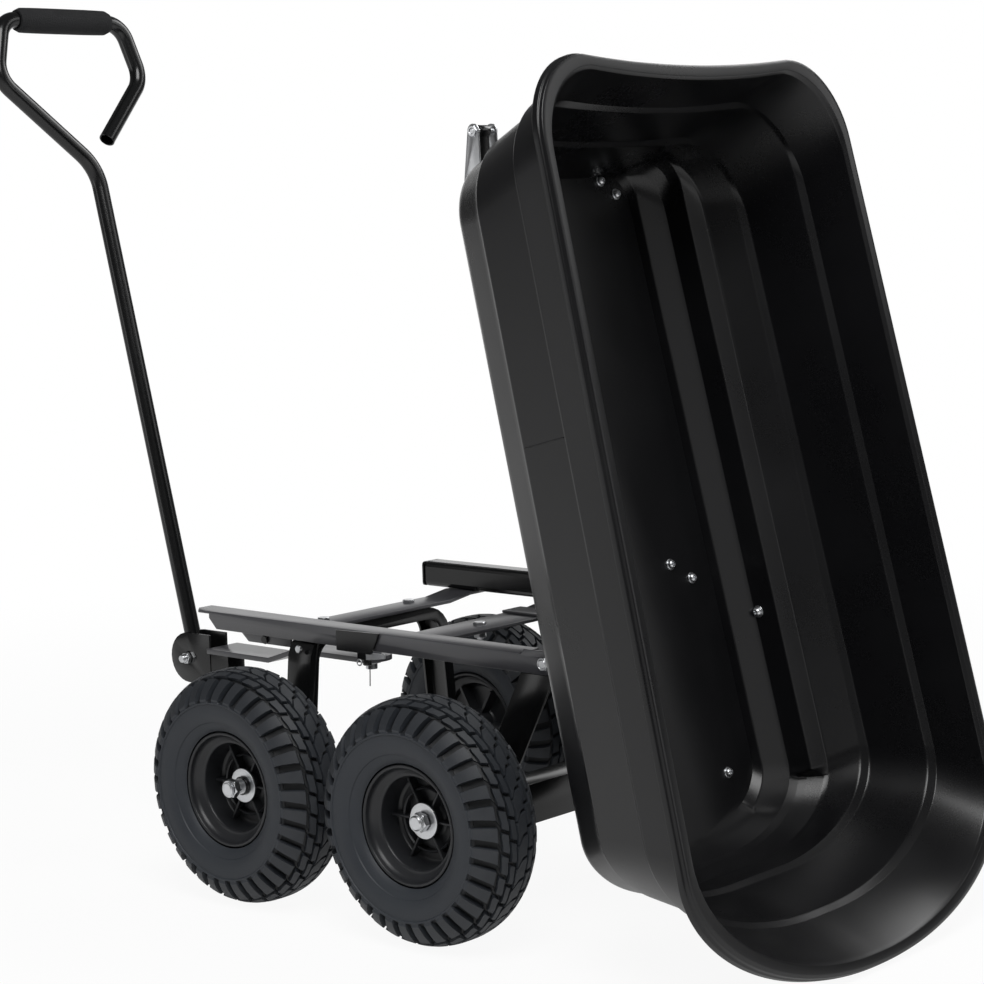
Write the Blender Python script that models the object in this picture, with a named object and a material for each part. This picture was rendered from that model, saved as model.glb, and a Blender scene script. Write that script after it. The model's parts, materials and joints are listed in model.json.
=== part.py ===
"""Garden dump cart: a steel chassis on four pneumatic wheels, a swinging tongue with a bent pull handle, and a
moulded bin on a bed frame that tips backwards. Metres, +Z up, +X towards the handle, +Y the cart's left side.
The cart is modelled with the rear axle above x = 0 and the floor at z = 0. At the end it is moved along X so that
the middle of its footprint lies at the origin."""

import math

import bmesh
import bpy
from mathutils import Matrix, Vector

# Gaps between pieces
SEAT_GAP = 0.0003
PIN_GAP = 0.0006
SIDE_PLAY = 0.0012

# Wheels
TYRE_RADIUS = 0.130
TYRE_WIDTH = 0.090
TYRE_WALL = 0.008
TYRE_CROWN = 0.028
TYRE_SHARES = (0.24, 0.62, 0.86, 1.0)
LUG_COUNT = 20
LUG_LENGTH = 0.60
GROOVE_PLACE = 0.80
GROOVE_DEPTH = 0.006
RIM_RADIUS = 0.0637
RIM_WIDTH = 0.065
RIM_WALL = 0.0035
RIM_WELL = 0.009
HUB_RADIUS = 0.017
HUB_INNER = 0.036
HUB_OUTER = 0.004
WEB_INSET = 0.010
RIB_COUNT = 6
RIB_WALL = 0.005
RIB_RISE = 0.009

# Axles
TRACK = 0.400
TYRE_GAP = 0.012
WHEELBASE = 2 * TYRE_RADIUS + TYRE_GAP
AXLE_RADIUS = 0.008
SLEEVE_RADIUS = 0.0115
WASHER_RADIUS = 0.019
WASHER_WALL = 0.0024
NUT_RADIUS = 0.0108
NUT_LENGTH = 0.010
FRONT_STAND_OUT = 0.012
REAR_STAND_OUT = 0.0012
STUB_TIP = 0.002

# Chassis
FRAME_TOP = 0.296
FRAME_WIDTH = 0.220
RAIL_FLANGE = 0.032
RAIL_DEPTH = 0.020
RAIL_WALL = 0.003
RAIL_FRONT = 0.456
RAIL_REAR = -0.052
RAIL_NOSE = 0.030
NOSE_CHAMFER = 0.012
EAR_RADIUS = 0.0125
STRAP_WALL = 0.004
FRONT_STRAP_WIDTH = 0.042
REAR_STRAP_WIDTH = 0.055
REAR_STRAP_X = 0.110
STRAP_BEND = 0.115
STRAP_RAMP = 0.036
STRAP_RISE = 0.005
BEAM_WIDTH = 0.030
BEAM_HEIGHT = 0.030
BEAM_OVERHANG = 0.037
BEAM_ROUNDING = 0.006
DOUBLER_LENGTH = 0.082
DOUBLER_DROP = 0.010

# Front axle arch
ARCH_CROWN = 0.155
ARCH_WIDTH = 0.036
ARCH_BEND = 0.038
ARCH_SPLAY = 0.014
ARCH_FLANGE = 0.014
ARCH_FLANGE_WALL = 0.003
ARCH_FOOT = 0.022

# Rear axle
LEG_WALL = 0.003
LEG_WIDTH = 0.046
LEG_FOOT_RADIUS = 0.020
AXLE_BEAM_WIDTH = 0.040
AXLE_BEAM_HEIGHT = 0.044
AXLE_BEAM_WALL = 0.004

# Tongue and handle
KING_PIN_RADIUS = 0.007
KING_BOSS_RADIUS = 0.012
KING_FLANGE_RADIUS = 0.0135
TONGUE_WIDTH = 0.050
TONGUE_EYE_RADIUS = 0.024
TONGUE_WALL = 0.006
TONGUE_Z = 0.222
TONGUE_STEP = 0.016
TONGUE_FRONT = 0.528
PIVOT_X = 0.574
PIVOT_Z = 0.211
CHEEK_RADIUS = 0.031
CHEEK_REAR = 0.040
CHEEK_WALL = 0.003
CHEEK_SPREAD = 0.024
BLOCK_HEIGHT = 0.027
BOLT_RADIUS = 0.005
BOLT_HEAD_RADIUS = 0.0075
BOLT_HEAD = 0.006
HANDLE_LEAN = math.radians(13.9)
HANDLE_RADIUS = 0.010
SHAFT_LENGTH = 0.620
LOOP_NEAR_WIDTH = 0.125
LOOP_FAR_WIDTH = 0.102
LOOP_WAIST = 0.735
LOOP_TOP = 0.808
LOOP_NEAR_SHOULDER = 0.100
LOOP_FAR_SHOULDER = 0.086
LOOP_END_REACH = 0.026
LOOP_END_RISE = 0.036
SHAFT_BEND = 0.060
WAIST_BEND = 0.035
SHOULDER_BEND = 0.028
GRIP_RADIUS = 0.016
GRIP_LENGTH = 0.142

# Bed and bin, in the bed's own frame: x forward from the pivot, z up from it, as when the bed is lowered
BED_PIVOT_X = -0.087
BED_PIVOT_Z = 0.288
BED_TILT = math.radians(76.4)
BED_RAIL_WIDTH = 0.028
BED_RAIL_HEIGHT = 0.024
BED_RAIL_LIFT = 0.013
BED_RAIL_OUTER = 0.097
BED_RAIL_REAR = -0.100
BED_RAIL_FRONT = 0.500
BED_CROSS_WIDTH = 0.025
BED_CROSS_MIDDLE = 0.064
BED_EAR_WALL = 0.003
BED_EAR_LENGTH = 0.045
BED_PIN_RADIUS = 0.005
BIN_WALL = 0.004
BIN_DEPTH = 0.2224
LIP_WIDTH = 0.016
LIP_SKIRT = 0.012
LIP_WALL = 0.003
LIP_BOW = 0.009
BIN_TAPER = 0.10
TAPER_START = 0.100
REAR_CORNER_STRETCH = 1.85

# Latch
LATCH_Y = 0.081
LATCH_WIDTH = 0.030
LATCH_WALL = 0.002
LATCH_REACH = 0.053
LATCH_RISE = 0.027
LATCH_EYE = 0.0075
LATCH_PIN_RADIUS = 0.003
LEVER_WIDTH = 0.014
LEVER_WALL = 0.006
LEVER_DROP = 0.043
LEVER_NOSE = 0.014

# Round pieces
RIM_SIDES = 30
PIN_SIDES = 16
TUBE_SIDES = 12


def clear_scene():
    for thing in list(bpy.data.objects):
        bpy.data.objects.remove(thing)


def make_material(name, colour, roughness, metallic):
    material = bpy.data.materials.new(name)
    material.use_nodes = True
    shader = material.node_tree.nodes["Principled BSDF"]
    shader.inputs["Base Color"].default_value = (*colour, 1.0)
    shader.inputs["Roughness"].default_value = roughness
    shader.inputs["Metallic"].default_value = metallic
    return material


clear_scene()
RUBBER = make_material("tyre rubber", (0.018, 0.020, 0.024), 0.75, 0.0)
RIM_PLASTIC = make_material("rim plastic", (0.012, 0.012, 0.014), 0.45, 0.0)
BIN_PLASTIC = make_material("bin plastic", (0.010, 0.010, 0.012), 0.35, 0.0)
FOAM = make_material("grip foam", (0.020, 0.020, 0.022), 0.9, 0.0)
PAINT = make_material("black paint", (0.012, 0.013, 0.014), 0.3, 0.0)
ZINC = make_material("zinc plate", (0.62, 0.63, 0.65), 0.3, 1.0)


def make_empty(name, parent, location, rotation=(0, 0, 0)):
    empty = bpy.data.objects.new(name, None)
    empty.parent = parent
    empty.location = location
    empty.rotation_euler = rotation
    bpy.context.scene.collection.objects.link(empty)
    return empty


def make_object(name, shape, material, parent):
    """An object from a bmesh, which is freed."""
    bmesh.ops.recalc_face_normals(shape, faces=shape.faces)
    mesh = bpy.data.meshes.new(name)
    shape.to_mesh(mesh)
    shape.free()
    mesh.materials.append(material)
    thing = bpy.data.objects.new(name, mesh)
    thing.parent = parent
    bpy.context.scene.collection.objects.link(thing)
    return thing


def boolean(body, tools, operation):
    """Joins, cuts or intersects the body with each tool, and removes the tools."""
    for tool in tools:
        tool.parent = body.parent
        tool.hide_render = True
        modifier = body.modifiers.new(tool.name, "BOOLEAN")
        modifier.operation = operation
        modifier.solver = "EXACT"
        modifier.object = tool
    bpy.context.view_layer.update()
    graph = bpy.context.evaluated_depsgraph_get()
    result = bpy.data.meshes.new_from_object(body.evaluated_get(graph))
    body.modifiers.clear()
    body.data = result
    for tool in tools:
        bpy.data.objects.remove(tool)
    return body


def union(name, shapes, material, parent):
    body = make_object(name, shapes[0], material, parent)
    tools = [make_object(name + " part", shape, material, parent) for shape in shapes[1:]]
    return boolean(body, tools, "UNION") if tools else body


def cut(body, shapes):
    material = body.data.materials[0]
    tools = [make_object(body.name + " cutter", shape, material, body.parent) for shape in shapes]
    return boolean(body, tools, "DIFFERENCE")


def smooth(body, angle=35):
    body.data.shade_smooth()
    body.data.set_sharp_from_angle(angle=math.radians(angle))
    return body


PLACES = {
    "X": lambda a, b, t: (t, a, b),
    "Y": lambda a, b, t: (a, t, b),
    "Z": lambda a, b, t: (a, b, t),
}


def prism(outline, axis, low, high):
    """A closed outline in the plane square to the axis, extruded from low to high along it."""
    place = PLACES[axis]
    shape = bmesh.new()
    base = [shape.verts.new(place(a, b, low)) for a, b in outline]
    face = shape.faces.new(base)
    grown = bmesh.ops.extrude_face_region(shape, geom=[face])
    move = Vector(place(0, 0, high - low))
    for item in grown["geom"]:
        if isinstance(item, bmesh.types.BMVert):
            item.co += move
    return shape


def box(x, y, z):
    """A box from three (low, high) pairs."""
    return prism([(x[0], y[0]), (x[1], y[0]), (x[1], y[1]), (x[0], y[1])], "Z", z[0], z[1])


def arc(centre, radius, start, end, steps):
    """Points on an arc, with angles in degrees."""
    points = []
    for i in range(steps + 1):
        angle = math.radians(start + (end - start) * i / steps)
        points.append((centre[0] + radius * math.cos(angle), centre[1] + radius * math.sin(angle)))
    return points


def disc(centre, radius, axis, low, high, sides=PIN_SIDES, turn=0):
    return prism(arc(centre, radius, turn, turn + 360, sides)[:-1], axis, low, high)


def turned(profile, axis, centre=(0, 0), sides=PIN_SIDES):
    """A closed profile of (radius, place along the axis) points turned about the axis through the centre."""
    place = PLACES[axis]
    shape = bmesh.new()
    rings = []
    for radius, along in profile:
        if radius == 0:
            rings.append([shape.verts.new(place(centre[0], centre[1], along))])
            continue
        spots = arc(centre, radius, 0, 360, sides)[:-1]
        rings.append([shape.verts.new(place(a, b, along)) for a, b in spots])
    for first, second in zip(rings, rings[1:] + rings[:1]):
        for i in range(sides):
            corners = [first[i % len(first)], first[(i + 1) % len(first)]]
            corners += [second[(i + 1) % len(second)], second[i % len(second)]]
            distinct = list(dict.fromkeys(corners))
            if len(distinct) > 2:
                shape.faces.new(distinct)
    return shape


def rounded_path(corners, radii, steps=6):
    """A polyline whose inner corners are rounded to the given radii."""
    path = [Vector(corners[0])]
    for before, corner, after, radius in zip(corners, corners[1:], corners[2:], radii):
        before, corner, after = Vector(before), Vector(corner), Vector(after)
        back = (before - corner).normalized()
        ahead = (after - corner).normalized()
        half = back.angle(ahead) / 2
        reach = radius / math.tan(half)
        centre = corner + (back + ahead).normalized() * radius / math.sin(half)
        start = corner + back * reach - centre
        end = corner + ahead * reach - centre
        sweep = start.angle(end)
        for i in range(steps + 1):
            share = i / steps
            spot = start * math.sin((1 - share) * sweep) + end * math.sin(share * sweep)
            path.append(centre + spot / math.sin(sweep))
    path.append(Vector(corners[-1]))
    return path


def tube(path, radius, sides=TUBE_SIDES):
    """A round rod along a path that lies in one plane, with closed ends."""
    side = (path[1] - path[0]).cross(path[len(path) // 2] - path[0]).normalized()
    shape = bmesh.new()
    rings = []
    for i, spot in enumerate(path):
        ahead = (path[min(i + 1, len(path) - 1)] - path[max(i - 1, 0)]).normalized()
        out = side.cross(ahead).normalized()
        ring = []
        for k in range(sides):
            angle = 2 * math.pi * (k + 0.5) / sides
            ring.append(shape.verts.new(spot + (side * math.cos(angle) + out * math.sin(angle)) * radius))
        rings.append(ring)
    for first, second in zip(rings, rings[1:]):
        for k in range(sides):
            shape.faces.new([first[k], first[(k + 1) % sides], second[(k + 1) % sides], second[k]])
    shape.faces.new(rings[0])
    shape.faces.new(rings[-1])
    return shape


def mirrored(outline):
    """The outline with its first coordinate's sign turned, in the other order."""
    return [(-a, b) for a, b in reversed(outline)]


cart = make_empty("cart", None, (0, 0, 0))
HALF_TRACK = TRACK / 2
RAIL_OUTER = FRAME_WIDTH / 2
RAIL_INNER = RAIL_OUTER - RAIL_FLANGE
RAIL_BOTTOM = FRAME_TOP - RAIL_DEPTH
STRAP_TOP = FRAME_TOP - RAIL_WALL - SEAT_GAP
STRAP_BOTTOM = STRAP_TOP - STRAP_WALL
REAR_STRAP_BACK = REAR_STRAP_X - REAR_STRAP_WIDTH / 2
REAR_STRAP_FRONT = REAR_STRAP_X + REAR_STRAP_WIDTH / 2


# Side rails: angle iron with an ear at the rear for the bed's pivot
def make_side_rail(name, side, flange_front, web_front, nose):
    lap = RAIL_WALL / 2
    flange = [
        (RAIL_REAR, RAIL_INNER),
        (flange_front, RAIL_INNER),
        (flange_front, RAIL_OUTER - nose),
        (flange_front - nose, RAIL_OUTER),
        (RAIL_REAR, RAIL_OUTER),
    ]
    if nose == 0:
        del flange[3]
    pivot = (BED_PIVOT_X, BED_PIVOT_Z)
    web = arc(pivot, EAR_RADIUS, 90, 270, 8)
    web += [(web_front - nose, RAIL_BOTTOM), (web_front, RAIL_BOTTOM + nose)]
    web += [(web_front, FRAME_TOP - lap), (RAIL_REAR - lap, FRAME_TOP - lap)]
    web += [(RAIL_REAR - 2 * RAIL_WALL, pivot[1] + EAR_RADIUS)]
    if nose == 0:
        web = [spot for i, spot in enumerate(web) if i != 9]
    sides = sorted((side * RAIL_OUTER, side * (RAIL_OUTER - RAIL_WALL)))
    shapes = [
        prism([(x, side * y) for x, y in flange], "Z", FRAME_TOP - RAIL_WALL, FRAME_TOP),
        prism(web, "Y", *sides),
    ]
    rail = union(name, shapes, PAINT, cart)
    hole = BED_PIN_RADIUS + PIN_GAP
    return cut(rail, [disc(pivot, hole, "Y", sides[0] - lap, sides[1] + lap)])


make_side_rail("side_rail_near", 1, RAIL_FRONT, RAIL_FRONT - RAIL_NOSE, NOSE_CHAMFER)
make_side_rail("side_rail_far", -1, REAR_STRAP_FRONT, REAR_STRAP_BACK - SEAT_GAP, 0)


# Cross straps, bent up on the far side to carry the support beam
BEAM_INNER = STRAP_BEND + STRAP_RAMP
BEAM_OUTER = BEAM_INNER + BEAM_WIDTH


def make_cross_strap(name, x, width):
    near_end = RAIL_OUTER - RAIL_WALL - SEAT_GAP
    top = [
        (near_end, STRAP_TOP),
        (-STRAP_BEND, STRAP_TOP),
        (-BEAM_INNER, STRAP_TOP + STRAP_RISE),
        (-BEAM_OUTER, STRAP_TOP + STRAP_RISE),
    ]
    bottom = [(y, z - STRAP_WALL) for y, z in reversed(top)]
    return make_object(name, prism(top + bottom, "X", x - width / 2, x + width / 2), PAINT, cart)


make_cross_strap("front_cross_strap", WHEELBASE, FRONT_STRAP_WIDTH)
make_cross_strap("rear_cross_strap", REAR_STRAP_X, REAR_STRAP_WIDTH)


# Support beam on the straps' raised far ends, with rounded edges
def make_support_beam():
    low = STRAP_TOP + STRAP_RISE + SEAT_GAP
    front = WHEELBASE + FRONT_STRAP_WIDTH / 2 + BEAM_OVERHANG
    rear = REAR_STRAP_BACK - BEAM_OVERHANG
    shape = box((rear, front), (-BEAM_OUTER, -BEAM_INNER), (low, low + BEAM_HEIGHT))
    bmesh.ops.bevel(
        shape, geom=shape.edges[:], offset=BEAM_ROUNDING, segments=3, profile=0.5, affect="EDGES"
    )
    return smooth(make_object("support_beam", shape, PAINT, cart))


make_support_beam()


# Doubler plate inside the near rail, ahead of the front strap
def make_doubler():
    back = WHEELBASE + FRONT_STRAP_WIDTH / 2 + SEAT_GAP
    front = back + DOUBLER_LENGTH
    outer = RAIL_OUTER - RAIL_WALL - SEAT_GAP
    top = FRAME_TOP - RAIL_WALL - SEAT_GAP
    low = RAIL_BOTTOM - DOUBLER_DROP
    outline = [(back, low), (front - NOSE_CHAMFER, low), (front, low + DOUBLER_DROP), (front, top), (back, top)]
    return make_object("rail_doubler", prism(outline, "Y", outer - RAIL_WALL, outer), PAINT, cart)


make_doubler()

# Front axle arch: a channel pressed into an inverted U with splayed legs
ARCH_TOP = STRAP_BOTTOM - SEAT_GAP
ARCH_BEND_Z = ARCH_TOP - ARCH_BEND
ARCH_LOW = TYRE_RADIUS - ARCH_FOOT


def arch_half(inset):
    """One half of the arch's path, from the foot to the crown, set in from its outer face."""
    leg_y = ARCH_CROWN / 2 + ARCH_BEND - inset
    foot = (leg_y + ARCH_SPLAY, ARCH_LOW)
    return [foot] + arc((ARCH_CROWN / 2, ARCH_BEND_Z), ARCH_BEND - inset, 0, 90, 6)


def arch_outline(depth):
    outer = arch_half(0)
    inner = arch_half(depth)
    return outer + mirrored(outer) + list(reversed(inner + mirrored(inner)))


def leg_face(z):
    """The outer face of an arch leg at height z."""
    share = (ARCH_BEND_Z - z) / (ARCH_BEND_Z - ARCH_LOW)
    return ARCH_CROWN / 2 + ARCH_BEND + ARCH_SPLAY * share


def make_arch():
    back = WHEELBASE - ARCH_WIDTH / 2
    front = WHEELBASE + ARCH_WIDTH / 2
    shapes = [
        prism(arch_outline(STRAP_WALL), "X", back, front),
        prism(arch_outline(ARCH_FLANGE), "X", back, back + ARCH_FLANGE_WALL),
        prism(arch_outline(ARCH_FLANGE), "X", front - ARCH_FLANGE_WALL, front),
    ]
    arch = union("front_axle_arch", shapes, PAINT, cart)
    reach = leg_face(ARCH_LOW) + STRAP_WALL
    hole = AXLE_RADIUS + SEAT_GAP
    return cut(arch, [disc((WHEELBASE, TYRE_RADIUS), hole, "Y", -reach, reach)])


make_arch()

# Axles, with their washers and nuts
HUB_END_Y = HALF_TRACK + HUB_OUTER
HUB_START_Y = HALF_TRACK - HUB_INNER
WASHER_Y = HUB_END_Y + SIDE_PLAY


def make_washer_and_nut(place, x, side, stand_out):
    """The bright washer against the hub, and the bright nut further out."""
    hole = AXLE_RADIUS + SEAT_GAP
    ends = (side * WASHER_Y, side * (WASHER_Y + WASHER_WALL))
    ring = [(hole, ends[0]), (WASHER_RADIUS, ends[0]), (WASHER_RADIUS, ends[1]), (hole, ends[1])]
    make_object("washer_" + place, turned(ring, "Y", (x, TYRE_RADIUS)), ZINC, cart)
    start = WASHER_Y + WASHER_WALL + stand_out
    low, high = sorted((side * start, side * (start + NUT_LENGTH)))
    nut = make_object("nut_" + place, disc((x, TYRE_RADIUS), NUT_RADIUS, "Y", low, high, 6), ZINC, cart)
    return cut(nut, [disc((x, TYRE_RADIUS), hole, "Y", low - SIDE_PLAY, high + SIDE_PLAY)])


def make_stub_axle(name, side):
    """A front stub: head inside the arch leg, sleeve up to the hub, and a spacer outside the washer."""
    inside = leg_face(TYRE_RADIUS + AXLE_RADIUS) - STRAP_WALL - 2 * SEAT_GAP
    outside = leg_face(TYRE_RADIUS - SLEEVE_RADIUS) + SEAT_GAP
    spacer = WASHER_Y + WASHER_WALL + SEAT_GAP
    spacer_end = spacer + FRONT_STAND_OUT - 2 * SEAT_GAP
    tip = WASHER_Y + WASHER_WALL + FRONT_STAND_OUT + NUT_LENGTH + STUB_TIP
    profile = [
        (0, inside - NUT_LENGTH),
        (NUT_RADIUS, inside - NUT_LENGTH),
        (NUT_RADIUS, inside),
        (AXLE_RADIUS, inside),
        (AXLE_RADIUS, outside),
        (SLEEVE_RADIUS, outside),
        (SLEEVE_RADIUS, HUB_START_Y - SIDE_PLAY),
        (AXLE_RADIUS, HUB_START_Y - SIDE_PLAY),
        (AXLE_RADIUS, spacer),
        (NUT_RADIUS, spacer),
        (NUT_RADIUS, spacer_end),
        (AXLE_RADIUS, spacer_end),
        (AXLE_RADIUS, tip),
        (0, tip),
    ]
    profile = [(radius, side * y) for radius, y in profile]
    return smooth(make_object(name, turned(profile, "Y", (WHEELBASE, TYRE_RADIUS)), PAINT, cart))


for place, side in (("near", 1), ("far", -1)):
    make_stub_axle("front_axle_" + place, side)
    make_washer_and_nut("front_" + place, WHEELBASE, side, FRONT_STAND_OUT)
    make_washer_and_nut("rear_" + place, 0, side, REAR_STAND_OUT)

# Rear axle: two leg plates under the rails' rear ends, a channel beam between them and a rod through all
LEG_OUTER = RAIL_OUTER - RAIL_WALL / 2
LEG_INNER = LEG_OUTER - LEG_WALL


def make_rear_axle_rod():
    tip = WASHER_Y + WASHER_WALL + REAR_STAND_OUT + NUT_LENGTH + STUB_TIP
    collar = (LEG_OUTER + SEAT_GAP, HUB_START_Y - SIDE_PLAY)
    half = [
        (AXLE_RADIUS, collar[0]),
        (SLEEVE_RADIUS, collar[0]),
        (SLEEVE_RADIUS, collar[1]),
        (AXLE_RADIUS, collar[1]),
        (AXLE_RADIUS, tip),
        (0, tip),
    ]
    profile = [(radius, -y) for radius, y in reversed(half)] + half
    return smooth(make_object("rear_axle_rod", turned(profile, "Y", (0, TYRE_RADIUS)), PAINT, cart))


def make_rear_leg(name, side):
    """A plate that tapers from under the rail's rear end to a round foot on the axle."""
    top = RAIL_BOTTOM - SEAT_GAP - (EAR_RADIUS - (BED_PIVOT_Z - RAIL_BOTTOM))
    back = RAIL_REAR - LEG_WIDTH
    foot = arc((0, TYRE_RADIUS), LEG_FOOT_RADIUS, -150, 30, 8)
    outline = [(back, top)] + foot + [(RAIL_REAR, top)]
    low, high = sorted((side * LEG_INNER, side * LEG_OUTER))
    leg = make_object(name, prism(outline, "Y", low, high), PAINT, cart)
    hole = AXLE_RADIUS + SEAT_GAP
    return cut(leg, [disc((0, TYRE_RADIUS), hole, "Y", low - SIDE_PLAY, high + SIDE_PLAY)])


def make_axle_beam():
    """A channel, open below, over the axle rod."""
    half = AXLE_BEAM_WIDTH / 2
    top = TYRE_RADIUS + AXLE_RADIUS + SEAT_GAP + AXLE_BEAM_WALL
    low = top - AXLE_BEAM_HEIGHT
    inner = half - AXLE_BEAM_WALL
    outline = [(-half, low), (-inner, low), (-inner, top - AXLE_BEAM_WALL), (inner, top - AXLE_BEAM_WALL)]
    outline += [(inner, low), (half, low), (half, top), (-half, top)]
    reach = LEG_INNER - SEAT_GAP
    return make_object("rear_axle_beam", prism(outline, "Y", -reach, reach), PAINT, cart)


make_rear_axle_rod()
make_rear_leg("rear_leg_near", 1)
make_rear_leg("rear_leg_far", -1)
make_axle_beam()


# Wheels
def make_wheel(place, x, side):
    """A hub empty on the axle's centre, whose +Y points outwards, with the tyre and the rim under it."""
    turn = 0 if side > 0 else math.pi
    hub = make_empty("wheel_" + place, cart, (x, side * HALF_TRACK, TYRE_RADIUS), (0, 0, turn))
    make_tyre("tyre_" + place, hub)
    make_rim("rim_" + place, hub)


def tyre_ring(shape, radius, y, groove, turn):
    """Points round the tyre: two on each tread lug and one in the groove after it, which lies deeper."""
    ring = []
    for lug in range(LUG_COUNT):
        for share, depth in ((0, 0), (LUG_LENGTH, 0), (GROOVE_PLACE, groove)):
            angle = (lug + share + turn) * math.tau / LUG_COUNT
            reach = radius - depth
            ring.append(shape.verts.new((reach * math.sin(angle), y, -reach * math.cos(angle))))
    return ring


def make_tyre(name, hub):
    """A casing open towards the rim. Its radius falls from the middle of the tread with the cube of the width,
    and V-shaped grooves part the lugs of its shoulders, which stand half a lug apart on the two sides."""
    bead = (RIM_RADIUS + SEAT_GAP) / math.cos(math.pi / LUG_COUNT)
    half = TYRE_WIDTH / 2
    level = TYRE_RADIUS + TYRE_CROWN * TYRE_SHARES[0] ** 3
    side = [(bead, RIM_WIDTH / 2 - SIDE_PLAY, 0)]
    side += [(level - TYRE_CROWN * share**3, share * half, GROOVE_DEPTH) for share in reversed(TYRE_SHARES)]
    side[1] = (side[1][0], side[1][1], GROOVE_DEPTH / 2)
    side[-1] = (TYRE_RADIUS, side[-1][1], 0)
    inner = [
        (TYRE_RADIUS - 1.5 * TYRE_WALL, TYRE_SHARES[0] * half),
        (TYRE_RADIUS - TYRE_CROWN - GROOVE_DEPTH, half - TYRE_WALL),
        (bead, side[0][1] - TYRE_WALL),
    ]
    shape = bmesh.new()
    rings = [tyre_ring(shape, radius, y, groove, 0) for radius, y, groove in side]
    rings += [tyre_ring(shape, radius, -y, groove, 0.5) for radius, y, groove in reversed(side)]
    coarse = []
    for radius, y in [(radius, -y) for radius, y in reversed(inner)] + inner:
        start = -90 if y > 0 else -90 + 180 / LUG_COUNT
        spots = arc((0, 0), radius, start, start + 360, LUG_COUNT)[:-1]
        coarse.append([shape.verts.new((a, y, b)) for a, b in spots])
    for first, second in list(zip(rings, rings[1:])) + list(zip(coarse, coarse[1:])):
        count = len(first)
        for i in range(count):
            shape.faces.new([first[i], first[(i + 1) % count], second[(i + 1) % count], second[i]])
    for fine, plain in ((rings[-1], coarse[0]), (rings[0], coarse[-1])):
        for i in range(LUG_COUNT):
            edge = [fine[(3 * i + k) % len(fine)] for k in range(4)]
            shape.faces.new(edge + [plain[(i + 1) % LUG_COUNT], plain[i]])
    return smooth(make_object(name, shape, RUBBER, hub), 25)


def make_rim(name, hub):
    """A dished barrel with a centre well, a web, ribs and a hub bored for the axle."""
    half = RIM_WIDTH / 2
    well = RIM_RADIUS - RIM_WELL
    seat = 0.62 * half
    barrel = [
        (RIM_RADIUS, half),
        (RIM_RADIUS, seat),
        (well, 0.40 * half),
        (well, -0.40 * half),
        (RIM_RADIUS, -seat),
        (RIM_RADIUS, -half),
        (RIM_RADIUS - RIM_WALL, -half),
        (RIM_RADIUS - RIM_WALL, -seat),
        (well - RIM_WALL, -0.40 * half),
        (well - RIM_WALL, 0.40 * half),
        (RIM_RADIUS - RIM_WALL, seat),
        (RIM_RADIUS - RIM_WALL, half),
    ]
    web_out = HUB_OUTER - WEB_INSET
    lap = RIM_WALL / 2
    bore = AXLE_RADIUS + PIN_GAP
    core = [
        (bore, -HUB_INNER),
        (HUB_RADIUS, -HUB_INNER),
        (HUB_RADIUS, web_out - RIM_WALL),
        (well - lap, web_out - RIM_WALL),
        (well - lap, web_out),
        (HUB_RADIUS, web_out),
        (HUB_RADIUS, HUB_OUTER),
        (bore, HUB_OUTER),
    ]
    shapes = [turned(barrel, "Y", sides=RIM_SIDES), turned(core, "Y", sides=RIM_SIDES)]
    for i in range(RIB_COUNT):
        rib = box(
            (HUB_RADIUS - lap, well - lap), (web_out - lap, web_out + RIB_RISE), (-RIB_WALL / 2, RIB_WALL / 2)
        )
        spin = Matrix.Rotation(i * math.tau / RIB_COUNT, 4, "Y")
        bmesh.ops.transform(rib, matrix=spin, verts=rib.verts)
        shapes.append(rib)
    return smooth(union(name, shapes, RIM_PLASTIC, hub))


for place, side in (("near", 1), ("far", -1)):
    make_wheel("front_" + place, WHEELBASE, side)
    make_wheel("rear_" + place, 0, side)


# King pin under the arch's crown, and the tongue that swings on it
STEER = make_empty("tongue_steer", cart, (WHEELBASE, 0, TONGUE_Z + TONGUE_STEP + TONGUE_WALL / 2))
STEER_Z = STEER.location.z


def make_king_pin():
    """A flange and boss under the crown, the pin through the tongue's eye, and a collar below it."""
    top = ARCH_TOP - STRAP_WALL - SEAT_GAP
    eye_top = STEER_Z + TONGUE_WALL / 2 + SIDE_PLAY
    eye_low = STEER_Z - TONGUE_WALL / 2 - SIDE_PLAY
    profile = [
        (0, top),
        (KING_FLANGE_RADIUS, top),
        (KING_FLANGE_RADIUS, top - STRAP_WALL),
        (KING_BOSS_RADIUS, top - STRAP_WALL),
        (KING_BOSS_RADIUS, eye_top),
        (KING_PIN_RADIUS, eye_top),
        (KING_PIN_RADIUS, eye_low),
        (KING_BOSS_RADIUS, eye_low),
        (KING_BOSS_RADIUS, eye_low - STRAP_WALL / 2),
        (KING_PIN_RADIUS, eye_low - STRAP_WALL / 2),
        (KING_PIN_RADIUS, eye_low - 2.5 * STRAP_WALL),
        (0, eye_low - 2.5 * STRAP_WALL),
    ]
    return smooth(make_object("king_pin", turned(profile, "Z", (WHEELBASE, 0)), ZINC, cart))


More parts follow.
